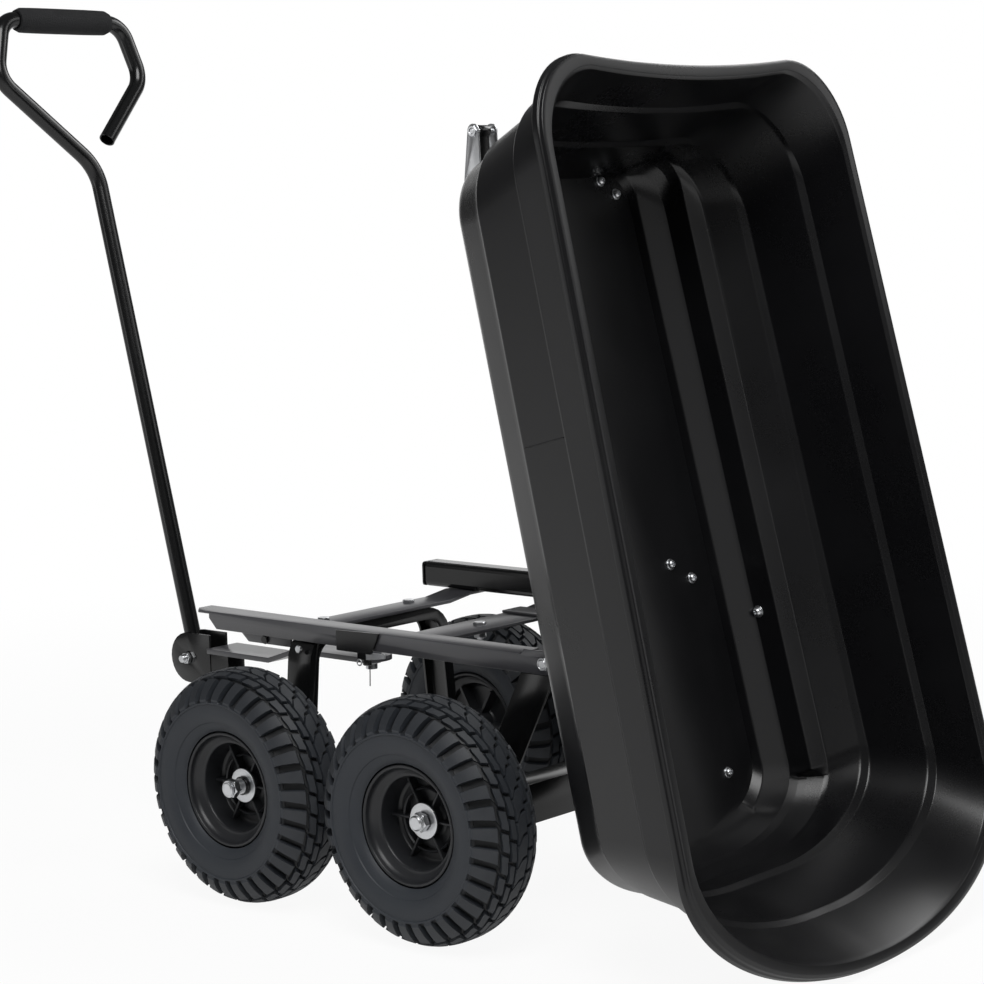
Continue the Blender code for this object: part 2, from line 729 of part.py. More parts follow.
def make_tongue_bar():
    """A flat bar with a wide round eye at the king pin and a step down towards the clevis."""
    high = TONGUE_WALL / 2
    low = high - TONGUE_STEP
    front = TONGUE_FRONT - WHEELBASE
    step_back = 0.100
    step_front = 0.148
    side = [(-TONGUE_EYE_RADIUS - SIDE_PLAY, high), (step_back, high), (step_front, low), (front, low)]
    outline = side + [(x, z - TONGUE_WALL) for x, z in reversed(side)]
    half = TONGUE_WIDTH / 2
    plan = arc((0, 0), TONGUE_EYE_RADIUS, 80, 280, 14)
    plan += [(step_back, -half), (front + SIDE_PLAY, -half), (front + SIDE_PLAY, half), (step_back, half)]
    bar = make_object("tongue_bar", prism(outline, "Y", -TONGUE_WIDTH, TONGUE_WIDTH), PAINT, STEER)
    plate = make_object("tongue_bar plan", prism(plan, "Z", low - TONGUE_STEP, high + TONGUE_STEP), PAINT, STEER)
    boolean(bar, [plate], "INTERSECT")
    hole = KING_PIN_RADIUS + PIN_GAP
    return cut(bar, [disc((0, 0), hole, "Z", low - TONGUE_STEP, high + TONGUE_STEP)])


make_king_pin()
make_tongue_bar()

# Clevis under the tongue's front end, with the handle's pivot bolt
PIVOT = (PIVOT_X - WHEELBASE, PIVOT_Z - STEER_Z)
CHEEK_INNER = CHEEK_SPREAD / 2
CHEEK_OUTER = CHEEK_INNER + CHEEK_WALL


def make_clevis():
    back = PIVOT[0] - CHEEK_REAR
    cheek = arc(PIVOT, CHEEK_RADIUS, -90, 90, 14)
    cheek += [(back, PIVOT[1] + CHEEK_RADIUS), (back, PIVOT[1] - CHEEK_RADIUS)]
    block_top = TONGUE_Z - STEER_Z - SEAT_GAP
    lap = CHEEK_WALL / 2
    shapes = [
        prism(cheek, "Y", CHEEK_INNER, CHEEK_OUTER),
        prism(cheek, "Y", -CHEEK_OUTER, -CHEEK_INNER),
        box(
            (back - CHEEK_RADIUS, back + 2 * CHEEK_WALL),
            (-CHEEK_OUTER + lap, CHEEK_OUTER - lap),
            (block_top - BLOCK_HEIGHT, block_top),
        ),
    ]
    clevis = union("handle_clevis", shapes, PAINT, STEER)
    hole = BOLT_RADIUS + SEAT_GAP
    return cut(clevis, [disc(PIVOT, hole, "Y", -2 * CHEEK_OUTER, 2 * CHEEK_OUTER)])


def make_pivot_bolt():
    seat = CHEEK_OUTER + SEAT_GAP
    profile = [
        (0, -seat - BOLT_HEAD),
        (BOLT_HEAD_RADIUS, -seat - BOLT_HEAD),
        (BOLT_HEAD_RADIUS, -seat),
        (BOLT_RADIUS, -seat),
        (BOLT_RADIUS, seat),
        (BOLT_HEAD_RADIUS, seat),
        (BOLT_HEAD_RADIUS, seat + BOLT_HEAD),
        (BOLT_RADIUS, seat + BOLT_HEAD),
        (BOLT_RADIUS, seat + 2 * BOLT_HEAD),
        (0, seat + 2 * BOLT_HEAD),
    ]
    return smooth(make_object("handle_pin", turned(profile, "Y", PIVOT), ZINC, STEER))


make_clevis()
make_pivot_bolt()

# Handle: a tube bent into a D, with a foam grip
HANDLE = make_empty("handle_tilt", STEER, (PIVOT[0], 0, PIVOT[1]), (0, HANDLE_LEAN, 0))


def make_handle():
    corners = [
        (0, 0, -1.2 * HANDLE_RADIUS),
        (0, 0, SHAFT_LENGTH),
        (0, LOOP_NEAR_WIDTH, LOOP_WAIST),
        (0, LOOP_NEAR_SHOULDER, LOOP_TOP),
        (0, -LOOP_FAR_SHOULDER, LOOP_TOP),
        (0, -LOOP_FAR_WIDTH, LOOP_WAIST),
        (0, -LOOP_END_REACH, SHAFT_LENGTH + LOOP_END_RISE),
    ]
    path = rounded_path(corners, [SHAFT_BEND, WAIST_BEND, SHOULDER_BEND, SHOULDER_BEND, WAIST_BEND])
    body = smooth(make_object("handle_tube", tube(path, HANDLE_RADIUS), PAINT, HANDLE))
    hole = BOLT_RADIUS + PIN_GAP
    return cut(body, [disc((0, 0), hole, "Y", -2 * HANDLE_RADIUS, 2 * HANDLE_RADIUS)])


def make_grip():
    half = GRIP_LENGTH / 2
    middle = (LOOP_NEAR_SHOULDER - LOOP_FAR_SHOULDER) / 2
    lip = GRIP_RADIUS / 4
    hole = HANDLE_RADIUS + SEAT_GAP
    profile = [(hole, -half), (GRIP_RADIUS - lip, -half), (GRIP_RADIUS, -half + lip)]
    profile += [(radius, -y) for radius, y in reversed(profile)]
    profile = [(radius, middle + y) for radius, y in profile]
    grip = make_object("handle_grip", turned(profile, "Y", (0, LOOP_TOP)), FOAM, HANDLE)
    return smooth(grip)


make_handle()
make_grip()

# Bed frame and bin. The bed's empty turns everything on it about the pivot.
BED = make_empty("bed_tilt", cart, (BED_PIVOT_X, 0, BED_PIVOT_Z), (0, -BED_TILT, 0))
RAIL_TOP = BED_RAIL_LIFT + BED_RAIL_HEIGHT
BED_RAIL_INNER = BED_RAIL_OUTER - BED_RAIL_WIDTH


def make_bed_frame():
    for name, side in (("near", 1), ("far", -1)):
        ends = sorted((side * BED_RAIL_OUTER, side * BED_RAIL_INNER))
        shape = box((BED_RAIL_REAR, BED_RAIL_FRONT), ends, (BED_RAIL_LIFT, RAIL_TOP))
        bmesh.ops.bevel(
            shape,
            geom=[e for e in shape.edges if e.calc_length() > BED_RAIL_FRONT],
            offset=BED_RAIL_HEIGHT / 8,
            segments=2,
            profile=0.5,
            affect="EDGES",
        )
        smooth(make_object("bed_rail_" + name, shape, PAINT, BED))
        make_bed_ear("bed_ear_" + name, side)
        make_bed_pin("bed_pin_" + name, side)
    reach = BED_RAIL_INNER - SEAT_GAP
    for name, middle in (("front", BED_RAIL_FRONT - BED_CROSS_WIDTH / 2), ("middle", BED_CROSS_MIDDLE)):
        span = (middle - BED_CROSS_WIDTH / 2, middle + BED_CROSS_WIDTH / 2)
        shape = box(span, (-reach, reach), (BED_RAIL_LIFT, RAIL_TOP))
        make_object("bed_cross_" + name, shape, PAINT, BED)


def make_bed_ear(name, side):
    """A plate on the rail's outer face whose round lower end turns on the pivot pin."""
    ends = sorted((side * (BED_RAIL_OUTER + SEAT_GAP), side * (BED_RAIL_OUTER + SEAT_GAP + BED_EAR_WALL)))
    rear = -BED_EAR_LENGTH * 2 / 3
    outline = [(rear, RAIL_TOP), (rear, BED_RAIL_LIFT)]
    outline += arc((0, 0), EAR_RADIUS, 200, 340, 8)
    outline += [(-rear, BED_RAIL_LIFT), (BED_EAR_LENGTH, BED_RAIL_LIFT), (BED_EAR_LENGTH, RAIL_TOP)]
    ear = make_object(name, prism(outline, "Y", *ends), PAINT, BED)
    hole = BED_PIN_RADIUS + PIN_GAP
    return cut(ear, [disc((0, 0), hole, "Y", ends[0] - BED_EAR_WALL, ends[1] + BED_EAR_WALL)])


def make_bed_pin(name, side):
    """Head outside the chassis web, a spacer up to the ear, and a nut inside the ear."""
    ear = BED_RAIL_OUTER + SEAT_GAP
    web = RAIL_OUTER - RAIL_WALL
    profile = [
        (0, ear - PIN_GAP - BOLT_HEAD),
        (BOLT_HEAD_RADIUS, ear - PIN_GAP - BOLT_HEAD),
        (BOLT_HEAD_RADIUS, ear - PIN_GAP),
        (BED_PIN_RADIUS, ear - PIN_GAP),
        (BED_PIN_RADIUS, ear + BED_EAR_WALL + PIN_GAP),
        (BOLT_HEAD_RADIUS, ear + BED_EAR_WALL + PIN_GAP),
        (BOLT_HEAD_RADIUS, web - SEAT_GAP),
        (BED_PIN_RADIUS, web - SEAT_GAP),
        (BED_PIN_RADIUS, RAIL_OUTER + SEAT_GAP),
        (BOLT_HEAD_RADIUS, RAIL_OUTER + SEAT_GAP),
        (BOLT_HEAD_RADIUS, RAIL_OUTER + SEAT_GAP + BOLT_HEAD),
        (0, RAIL_OUTER + SEAT_GAP + BOLT_HEAD),
    ]
    profile = [(radius, side * y) for radius, y in profile]
    return smooth(make_object(name, turned(profile, "Y", (BED_PIVOT_X, BED_PIVOT_Z)), ZINC, cart))


make_bed_frame()

# Bin: levels from the floor's underside up the outside, over the lip and down the inside.
# Each level gives a height over the floor's underside, and how far the wall stands to the side, front and rear.
BIN_FLOOR = RAIL_TOP + 2 * SEAT_GAP
WALL_LEVELS = [
    (0.0000, 0.140, 0.489, 0.212),
    (0.0040, 0.146, 0.495, 0.218),
    (0.0425, 0.197, 0.507, 0.252),
    (0.0900, 0.221, 0.516, 0.258),
    (0.0945, 0.227, 0.520, 0.263),
    (0.1600, 0.240, 0.535, 0.297),
    (0.1645, 0.246, 0.539, 0.302),
]
LIP_SIDE = 0.264
LIP_FRONT = 0.567
LIP_REAR = 0.354
CORNER_FLOOR = (0.080, 0.063)
CORNER_LIP = (0.084, 0.144)


def bin_outline(level):
    """Points round the bin at one level, from the middle of the front over the left side and back."""
    height, side, front, rear = level
    share = height / BIN_DEPTH
    near = CORNER_FLOOR[0] + (CORNER_LIP[0] - CORNER_FLOOR[0]) * share
    far = CORNER_FLOOR[1] + (CORNER_LIP[1] - CORNER_FLOOR[1]) * share
    wide = min(far * REAR_CORNER_STRETCH, side - BIN_WALL)
    bow = LIP_BOW * share
    half = [(front - bow * (1 - (i / 4) ** 2), (side - near) * i / 4) for i in range(1, 4)]
    half += arc((front - near, side - near), near, 0, 90, 6)
    half += [(front - near - (front - near + rear - far) * i / 4, side) for i in range(1, 4)]
    half += [(far * s - rear + far, wide * y + side - wide) for s, y in arc((0, 0), 1, 90, 180, 9)]
    half += [(-rear, (side - wide) / 2)]
    half = [(s, y * (1 - BIN_TAPER * (s - TAPER_START))) for s, y in half]
    points = [(front - bow, 0)] + half + [(-rear, 0)] + [(s, -y) for s, y in reversed(half)]
    return [(s, y, BIN_FLOOR + height) for s, y in points]


def grown(level, out, rise):
    """A level moved outwards and up."""
    height, side, front, rear = level
    return (height + rise, side + out, front + out, rear + out)


def make_bin():
    lip = (BIN_DEPTH, LIP_SIDE, LIP_FRONT, LIP_REAR)
    under = grown(lip, -LIP_WIDTH + BIN_WALL, -LIP_WALL)
    skirt = grown(lip, 0, -LIP_SKIRT)
    outside = WALL_LEVELS + [
        under,
        grown(lip, -LIP_WALL, -LIP_WALL),
        grown(skirt, -LIP_WALL, 0),
        skirt,
        grown(lip, 0, -LIP_WALL),
        grown(lip, -LIP_WALL, 0),
    ]
    inside = [grown(lip, -LIP_WIDTH, 0)]
    inside += [grown(level, -BIN_WALL, 0) for level in reversed(WALL_LEVELS[3:])]
    inside += [grown(WALL_LEVELS[2], -BIN_WALL, BIN_WALL / 2)]
    inside += [grown(WALL_LEVELS[0], 0, BIN_WALL)]
    shape = bmesh.new()
    rings = [[shape.verts.new(spot) for spot in bin_outline(level)] for level in outside + inside]
    count = len(rings[0])
    for first, second in zip(rings, rings[1:]):
        for i in range(count):
            shape.faces.new([first[i], first[(i + 1) % count], second[(i + 1) % count], second[i]])
    shape.faces.new(rings[0])
    shape.faces.new(rings[-1])
    return smooth(make_object("bin_tray", shape, BIN_PLASTIC, BED), 25)


make_bin()

# Latch: a bracket on the near bed rail's front end and a lever whose nose hooks under the side rail. The lever
# hangs straight down when the bed stands tipped.
LATCH_PIVOT = (BED_RAIL_FRONT + LATCH_REACH - LATCH_WALL, BED_RAIL_LIFT + LATCH_RISE)
LATCH = make_empty("latch", BED, (LATCH_PIVOT[0], LATCH_Y, LATCH_PIVOT[1]), (0, BED_TILT, 0))


def make_latch_bracket():
    back = BED_RAIL_FRONT + SEAT_GAP
    top = RAIL_TOP
    cheek = [(back, BED_RAIL_LIFT)] + arc(LATCH_PIVOT, LATCH_EYE, -60, 120, 8) + [(back, top)]
    outer = LATCH_WIDTH / 2
    shapes = [
        box((back, back + LATCH_WALL), (LATCH_Y - outer, LATCH_Y + outer), (BED_RAIL_LIFT, top)),
        prism(cheek, "Y", LATCH_Y - outer, LATCH_Y - outer + LATCH_WALL),
        prism(cheek, "Y", LATCH_Y + outer - LATCH_WALL, LATCH_Y + outer),
    ]
    bracket = union("latch_bracket", shapes, ZINC, BED)
    hole = LATCH_PIN_RADIUS + SEAT_GAP
    return cut(bracket, [disc(LATCH_PIVOT, hole, "Y", LATCH_Y - LATCH_WIDTH, LATCH_Y + LATCH_WIDTH)])


def make_latch_pin():
    outer = LATCH_WIDTH / 2 + SEAT_GAP
    head = 2 * LATCH_PIN_RADIUS
    profile = [
        (0, -outer - LATCH_WALL),
        (head, -outer - LATCH_WALL),
        (head, -outer),
        (LATCH_PIN_RADIUS, -outer),
        (LATCH_PIN_RADIUS, outer),
        (head, outer),
        (head, outer + LATCH_WALL),
        (0, outer + LATCH_WALL),
    ]
    profile = [(radius, LATCH_Y + y) for radius, y in profile]
    return smooth(make_object("latch_pin", turned(profile, "Y", LATCH_PIVOT), ZINC, BED))


def make_latch_lever():
    """A flat lever with a round eye and a nose that points back towards the side rail."""
    eye = LEVER_WALL
    half = LEVER_WALL / 2
    outline = arc((0, 0), eye, -30, 210, 10)
    outline += [(-half, -eye), (-half, half - LEVER_DROP), (-half - LEVER_NOSE, half - LEVER_DROP)]
    outline += [(-half - LEVER_NOSE, -LEVER_DROP), (half, -LEVER_DROP), (half, -eye)]
    lever = make_object("latch_lever", prism(outline, "Y", -LEVER_WIDTH / 2, LEVER_WIDTH / 2), PAINT, LATCH)
    hole = LATCH_PIN_RADIUS + PIN_GAP
    return cut(lever, [disc((0, 0), hole, "Y", -LEVER_WIDTH, LEVER_WIDTH)])


make_latch_bracket()
make_latch_pin()
make_latch_lever()


# The whole cart is moved so that the middle of its footprint is at the origin
def centre_cart():
    bpy.context.view_layer.update()
    corners = []
    for thing in bpy.data.objects:
        if thing.type == "MESH":
            corners += [thing.matrix_world @ vertex.co for vertex in thing.data.vertices]
    for axis in range(2):
        places = [corner[axis] for corner in corners]
        cart.location[axis] = -(min(places) + max(places)) / 2
    cart.location.z = -min(corner.z for corner in corners)
    bpy.context.view_layer.update()


centre_cart()
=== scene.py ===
# %% [markdown]
# # A garden dump cart, dressed for its picture
# The cart comes in as a set of plain solids, one for each real part, already in place. This lesson gives each
# part its finish, and rebuilds the ones whose beauty is in fine shape: knobbly tyres, dished rims, a moulded
# bin and bolts. It could all be one big mesh, but parts that turn on their own have to stay on their own
# bodies, so every new piece rides on the body of the part that it belongs to.

# %% Load the plain cart
import json
import math

import bmesh
import bpy
import numpy as np
from mathutils import Matrix, Vector


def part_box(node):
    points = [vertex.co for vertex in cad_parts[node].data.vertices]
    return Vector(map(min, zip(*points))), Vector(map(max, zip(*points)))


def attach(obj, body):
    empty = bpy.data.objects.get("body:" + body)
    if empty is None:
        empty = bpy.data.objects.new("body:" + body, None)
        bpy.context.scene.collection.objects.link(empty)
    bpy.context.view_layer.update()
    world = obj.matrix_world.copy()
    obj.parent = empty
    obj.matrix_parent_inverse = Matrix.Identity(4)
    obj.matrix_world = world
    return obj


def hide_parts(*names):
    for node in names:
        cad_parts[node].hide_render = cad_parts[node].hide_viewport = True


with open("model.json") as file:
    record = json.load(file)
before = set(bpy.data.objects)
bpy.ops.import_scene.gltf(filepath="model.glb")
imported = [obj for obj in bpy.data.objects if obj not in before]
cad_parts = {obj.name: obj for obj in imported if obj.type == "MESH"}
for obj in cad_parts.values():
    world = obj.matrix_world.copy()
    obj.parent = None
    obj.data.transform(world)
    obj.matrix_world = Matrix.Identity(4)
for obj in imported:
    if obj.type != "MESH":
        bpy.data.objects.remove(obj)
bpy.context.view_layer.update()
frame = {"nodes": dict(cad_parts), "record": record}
nodes = frame["nodes"]

# %% [markdown]
# ## Writing materials as sums
# A shader is a net of nodes, and a net is slow to read. A small class wraps one socket and lets Python's own
# signs make the Math nodes, so a finish reads like the sum it is. Any other kind of node comes from one
# method, which sets the node's options before its sockets, as some options change which sockets there are.


# %% A socket that can do sums
class Value:
    def __init__(self, tree, socket):
        self.tree = tree
        self.socket = socket

    def math(self, operation, *others):
        node = self.tree.nodes.new("ShaderNodeMath")
        node.operation = operation
        for place, item in zip(node.inputs, (self,) + others):
            feed(self.tree, place, item)
        return Value(self.tree, node.outputs[0])

    def __add__(self, other):
        return self.math("ADD", other)

    __radd__ = __add__

    def __sub__(self, other):
        return self.math("SUBTRACT", other)

    def __mul__(self, other):
        return self.math("MULTIPLY", other)

    def between(self, low, high):
        """0 below low, 1 above high and a straight ramp in between."""
        share = (self - low) * (1 / (high - low))
        return share.math("MAXIMUM", 0.0).math("MINIMUM", 1.0)


def feed(tree, place, item):
    """Links a value or a socket to an input, or writes a plain number or colour there."""
    if isinstance(item, Value):
        item = item.socket
    if isinstance(item, bpy.types.NodeSocket):
        tree.links.new(item, place)
    elif hasattr(item, "__len__") and len(item) == 3 and len(place.default_value) == 4:
        place.default_value = (*item, 1.0)
    else:
        place.default_value = item


print("sockets can do sums")


# %% A material that hands out nodes
class Finish:
    def __init__(self, name):
        self.material = bpy.data.materials.new(name)
        self.material.use_nodes = True
        self.tree = self.material.node_tree
        self.shader = self.tree.nodes["Principled BSDF"]

    def node(self, kind, settings=None, sockets=None, output=0):
        node = self.tree.nodes.new(kind)
        for name, setting in (settings or {}).items():
            setattr(node, name, setting)
        for name, item in (sockets or {}).items():
            feed(self.tree, node.inputs[name], item)
        return Value(self.tree, node.outputs[output])

    def set(self, **sockets):
        """Writes sockets of the shader; an underscore in a name stands for a space."""
        for name, item in sockets.items():
            feed(self.tree, self.shader.inputs[name.replace("_", " ")], item)

    def place(self):
        """The place on the piece, in metres, which rides with the piece."""
        return self.node("ShaderNodeTexCoord", output=3)

    def noise(self, scale, detail, at=None):
        sockets = {"Vector": at or self.place(), "Scale": scale, "Detail": detail, "Roughness": 0.55}
        return self.node("ShaderNodeTexNoise", None, sockets)

    def stretched(self, x, y, z):
        """The place, scaled along each axis."""
        sockets = {"Vector": self.place(), "Scale": (x, y, z)}
        return self.node("ShaderNodeMapping", {"vector_type": "POINT"}, sockets)

    def mix(self, share, first, second):
        sockets = {"Factor": share}
        mixed = self.node("ShaderNodeMix", {"data_type": "RGBA"}, sockets, output=2)
        node = mixed.socket.node
        feed(self.tree, node.inputs[6], first)
        feed(self.tree, node.inputs[7], second)
        return mixed

    def bump(self, height, depth):
        """Sets the normal from a height from 0 to 1, of that real depth in metres."""
        sockets = {"Height": height, "Distance": depth, "Strength": 1.0}
        self.set(Normal=self.node("ShaderNodeBump", None, sockets))


print("the material tools are ready")

# %% [markdown]
# ## The finishes
# Nearly all of the cart is black, and what tells the parts apart is how each black takes the light. Tyre
# rubber is a blue-grey, dry and faintly dusty, and its grooves are painted near black as shade. The bin is
# moulded and has a soft sheen with a fine grain. The steel has powder coat, glossy with a faint orange peel,
# and the rails, straps and tongue bar have a much greyer colour, which is a painted reflection of the pale
# floor. The rims are duller. One colour a part would look flat, so one cloud of noise drives the colour and
# the roughness of a finish together: a spot that is lighter is also rougher, as in life.


# %% Tyre rubber
def make_rubber():
    rubber = Finish("tyre rubber")
    cloud = rubber.noise(14.0, 4.0)
    grain = rubber.noise(900.0, 2.0)
    raised = rubber.node("ShaderNodeAttribute", {"attribute_name": "raised"}, output=2)
    dust = cloud.between(0.45, 0.75)
    side = rubber.mix(dust, (0.0230, 0.0270, 0.0340), (0.0330, 0.0380, 0.0450))
    top = rubber.mix(dust, (0.0220, 0.0250, 0.0300), (0.0420, 0.0450, 0.0500))
    # Painted shade: the foot of each groove, on the tread and the sidewall, goes near black by how far its
    # point stands up.
    low = rubber.mix(raised.between(0.0, 0.5), (0.0060, 0.0070, 0.0085), side)
    rubber.set(Base_Color=rubber.mix(raised.between(0.5, 1.0), low, top))
    rubber.set(Roughness=0.50 + dust * 0.14 + grain * 0.08)
    rubber.set(Specular_IOR_Level=0.45)
    rubber.bump(grain * 0.6 + cloud * 0.4, 0.00025)
    return rubber.material


RUBBER = make_rubber()
print(RUBBER.name)


# %% Moulded plastics: the rims and the bin
def make_plastic(name, dark, light, sheen, grain_size, grain_depth):
    plastic = Finish(name)
    flow = plastic.noise(6.0, 4.0)
    grain = plastic.noise(grain_size, 2.0)
    patch = flow.between(0.35, 0.70)
    plastic.set(Base_Color=plastic.mix(patch, dark, light))
    plastic.set(Roughness=sheen + patch * 0.07 + grain * 0.05)
    plastic.set(Specular_IOR_Level=0.4)
    plastic.bump(grain, grain_depth)
    return plastic.material


RIM_PLASTIC = make_plastic(
    "rim plastic", (0.0160, 0.0168, 0.0190), (0.0220, 0.0230, 0.0255), 0.32, 700.0, 0.00006
)
BIN_PLASTIC = make_plastic(
    "bin plastic", (0.0036, 0.0036, 0.0042), (0.0050, 0.0050, 0.0058), 0.24, 420.0, 0.00002
)
print(RIM_PLASTIC.name, "and", BIN_PLASTIC.name)


# %% Powder coat on the steel
def make_paint(name, dark, light, sheen, gloss):
    paint = Finish(name)
    peel = paint.noise(260.0, 1.5)
    cloud = paint.noise(9.0, 3.0)
    paint.set(Base_Color=paint.mix(cloud, dark, light))
    paint.set(Roughness=sheen + cloud * 0.10)
    paint.set(Specular_IOR_Level=gloss)
    paint.bump(peel, 0.00001)
    return paint.material


PAINT = make_paint("black powder coat", (0.0036, 0.0038, 0.0040), (0.0056, 0.0058, 0.0062), 0.16, 0.5)
# Painted reflection: the rails, straps and tongue bar take a grey far lighter than the black coat, standing in
# for the pale floor their faces reflect.
RAIL_PAINT_WITH_PAINTED_SHEEN = make_paint(
    "rail coat with painted reflection", (0.0520, 0.0520, 0.0580), (0.0700, 0.0700, 0.0770), 0.26, 0.7
)
print(PAINT.name, "and", RAIL_PAINT_WITH_PAINTED_SHEEN.name)


# %% Grip foam, full of tiny cells
def make_foam():
    foam = Finish("grip foam")
    sockets = {"Vector": foam.place(), "Scale": 620.0}
    cells = foam.node("ShaderNodeTexVoronoi", {"feature": "F1"}, sockets)
    cloud = foam.noise(40.0, 3.0)
    foam.set(Base_Color=foam.mix(cloud, (0.0085, 0.0088, 0.0095), (0.0180, 0.0185, 0.0200)))
    foam.set(Roughness=0.72 + cells * 0.2)
    foam.set(Specular_IOR_Level=0.35)
    foam.bump(cells.between(0.0, 0.8), 0.0006)
    return foam.material


FOAM = make_foam()
print(FOAM.name)


# %% Zinc plate, with the faint marks of handling
def make_zinc():
    zinc = Finish("zinc plate")
    cloud = zinc.noise(60.0, 4.0)
    scratch = zinc.noise(30.0, 6.0, at=zinc.stretched(1.0, 12.0, 30.0))
    zinc.set(Base_Color=zinc.mix(cloud, (0.50, 0.51, 0.53), (0.78, 0.79, 0.80)))
    zinc.set(Metallic=1.0)
    zinc.set(Roughness=0.20 + cloud * 0.14 + scratch * 0.10)
    zinc.bump(scratch, 0.00006)
    return zinc.material


ZINC = make_zinc()
print(ZINC.name)

# %% [markdown]
# ## Which finish goes where
# The record of the cart says which finish each part takes. Every plain part gets the node material of its
# slot here, so a part that is shown as it is already has its real surface.

# %% Finishes by slot
FINISHES = {
    "tyre": RUBBER,
    "rim_plastic": RIM_PLASTIC,
    "bin_plastic": BIN_PLASTIC,
    "grip_foam": FOAM,
    "black_paint": PAINT,
    "zinc_plate": ZINC,
}
slots = {part["node"]: part["material_slot"] for part in frame["record"]["subparts"]}
bodies = frame["record"]["behaviour"]["bodies"]
body_of = {node: body for body, held in bodies.items() for node in held}
for name, part in nodes.items():
    part.data.materials.clear()
    part.data.materials.append(FINISHES[slots[name]])
print(len(nodes), "parts have their finish")

# %% [markdown]
# ## Shapes from blocks of points
# Almost every part of a cart is one of three forms: a profile turned about an axis, a section carried along a
# path, or a plate with soft edges. Each could be made with Blender's own tools by hand. Here each is a block
# of points, a row for every step of the profile, because a block can be bent, cut into lugs or carried round
# a corner with plain sums, and its faces follow from the order of its points.


# %% Blocks of points and their faces
def grid_faces(rows, columns, wrap_rows, wrap_columns):
    """Four-cornered faces of a block of points, joined round where it wraps."""
    down = np.arange(rows - (not wrap_rows))
    along = np.arange(columns - (not wrap_columns))
    i, j = np.meshgrid(down, along, indexing="ij")
    after_i = (i + 1) % rows
    after_j = (j + 1) % columns
    corners = [i * columns + j, i * columns + after_j]
    corners += [after_i * columns + after_j, after_i * columns + j]
    return np.stack([corner.ravel() for corner in corners], 1).tolist()


def shell(points, caps=True):
    """A closed shape from a block of rings: with its two end rings closed, or joined to each other."""
    rows, columns = points.shape[:2]
    faces = grid_faces(rows, columns, not caps, True)
    if caps:
        faces.append(list(range(columns)))
        faces.append(list(range((rows - 1) * columns, rows * columns)))
    return points.reshape(-1, 3), faces


def eased(points, radius, steps=3):
    """A path whose inner corners are rounded, starting and ending the radius away from each corner."""
    points = [np.array(point, float) for point in points]
    radii = radius if hasattr(radius, "__len__") else [radius] * (len(points) - 2)
    path = [points[0]]
    for before, corner, after, reach in zip(points, points[1:], points[2:], radii):
        back = before - corner
        ahead = after - corner
        back = back * min(reach / np.linalg.norm(back), 0.48)
        ahead = ahead * min(reach / np.linalg.norm(ahead), 0.48)
        for share in np.linspace(0, 1, steps + 1):
            path.append(corner + back * (1 - share) ** 2 + ahead * share**2)
    path.append(points[-1])
    return path


def turned(profile, sides=48, caps=True):
    """A profile of (radius, height) points turned about Z. A radius may be a whole ring of radii."""
    around = np.arange(sides) * math.tau / sides
    rings = []
    for radius, height in profile:
        ring = [radius * np.cos(around), radius * np.sin(around), height + 0 * around]
        rings.append(np.stack(ring, 1))
    return shell(np.array(rings), caps)


def placed(shape, matrix):
    points, faces = shape
    matrix = np.array(matrix)
    return points @ matrix[:3, :3].T + matrix[:3, 3], faces


def aim(place, axis, turn=0.0):
    """The matrix that carries the origin to a place, and Z along an axis."""
    upright = Vector(axis).to_track_quat("Z", "Y").to_matrix().to_4x4()
    return Matrix.Translation(place) @ upright @ Matrix.Rotation(turn, 4, "Z")


print("points can become shapes")


# %% Meshes and pieces
show = bpy.context.scene.collection.objects.link


def mesh_from(name, shapes):
    """One mesh from several shapes, with the faces of each turned outwards."""
    points = np.concatenate([shape[0] for shape in shapes])
    faces = []
    start = 0
    for some, corners in shapes:
        faces += [[int(corner) + start for corner in face] for face in corners]
        start += len(some)
    mesh = bpy.data.meshes.new(name)
    mesh.from_pydata(points.tolist(), [], faces)
    form = bmesh.new()
    form.from_mesh(mesh)
    bmesh.ops.recalc_face_normals(form, faces=form.faces)
    form.to_mesh(mesh)
    form.free()
    return mesh


def add_piece(name, mesh, slot, body, stands_for=(), sharp=40, matrix=None, finish=None):
    """Gives a mesh its finish, chosen by its slot unless one is given, its place and its body, and hides the
    plain parts it stands for.
    """
    mesh.materials.clear()
    mesh.materials.append(finish or FINISHES[slot])
    mesh.shade_smooth()
    mesh.set_sharp_from_angle(angle=math.radians(sharp))
    piece = bpy.data.objects.new(name, mesh)
    show(piece)
    if matrix is not None:
        piece.matrix_world = matrix
    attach(piece, body)
    if stands_for:
        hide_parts(*stands_for)
    return piece


def add_fitting(name, shapes, slot, body, stands_for=(), sharp=30):
    add_piece(name, mesh_from(name, shapes), slot, body, stands_for, sharp)


print("the shape tools are ready")

# %% [markdown]
# ## Tyres
# The tyres are the small pneumatic kind for rough ground. 34 lugs a turn stand on each shoulder, half a lug
# apart on the two sides, and two rows of smaller blocks and a middle row fill the tread between them. A flat
# tyre with a bump map would show no blocks on its outline, so the blocks are real. The trick is to let the
# columns of the grid follow the grooves: every lug has the same few columns, two of them stand at the foot of
# the groove, and a shift for each row slants the whole pattern. The mesh keeps how far each point stands up,
# for the rubber's colour. One mesh serves all four wheels.

# %% The tyre's section and its pattern
TYRE_RADIUS = 0.130
TYRE_HALF = 0.045
TYRE_CROWN = 0.028
LUGS = 34
ZIGZAG = 0.030
ZIGZAG_PLACES = (0.1, 0.63)
GROOVE_COLUMNS = np.array([0, 1, 1, 0, 0, 0, 0, 0])
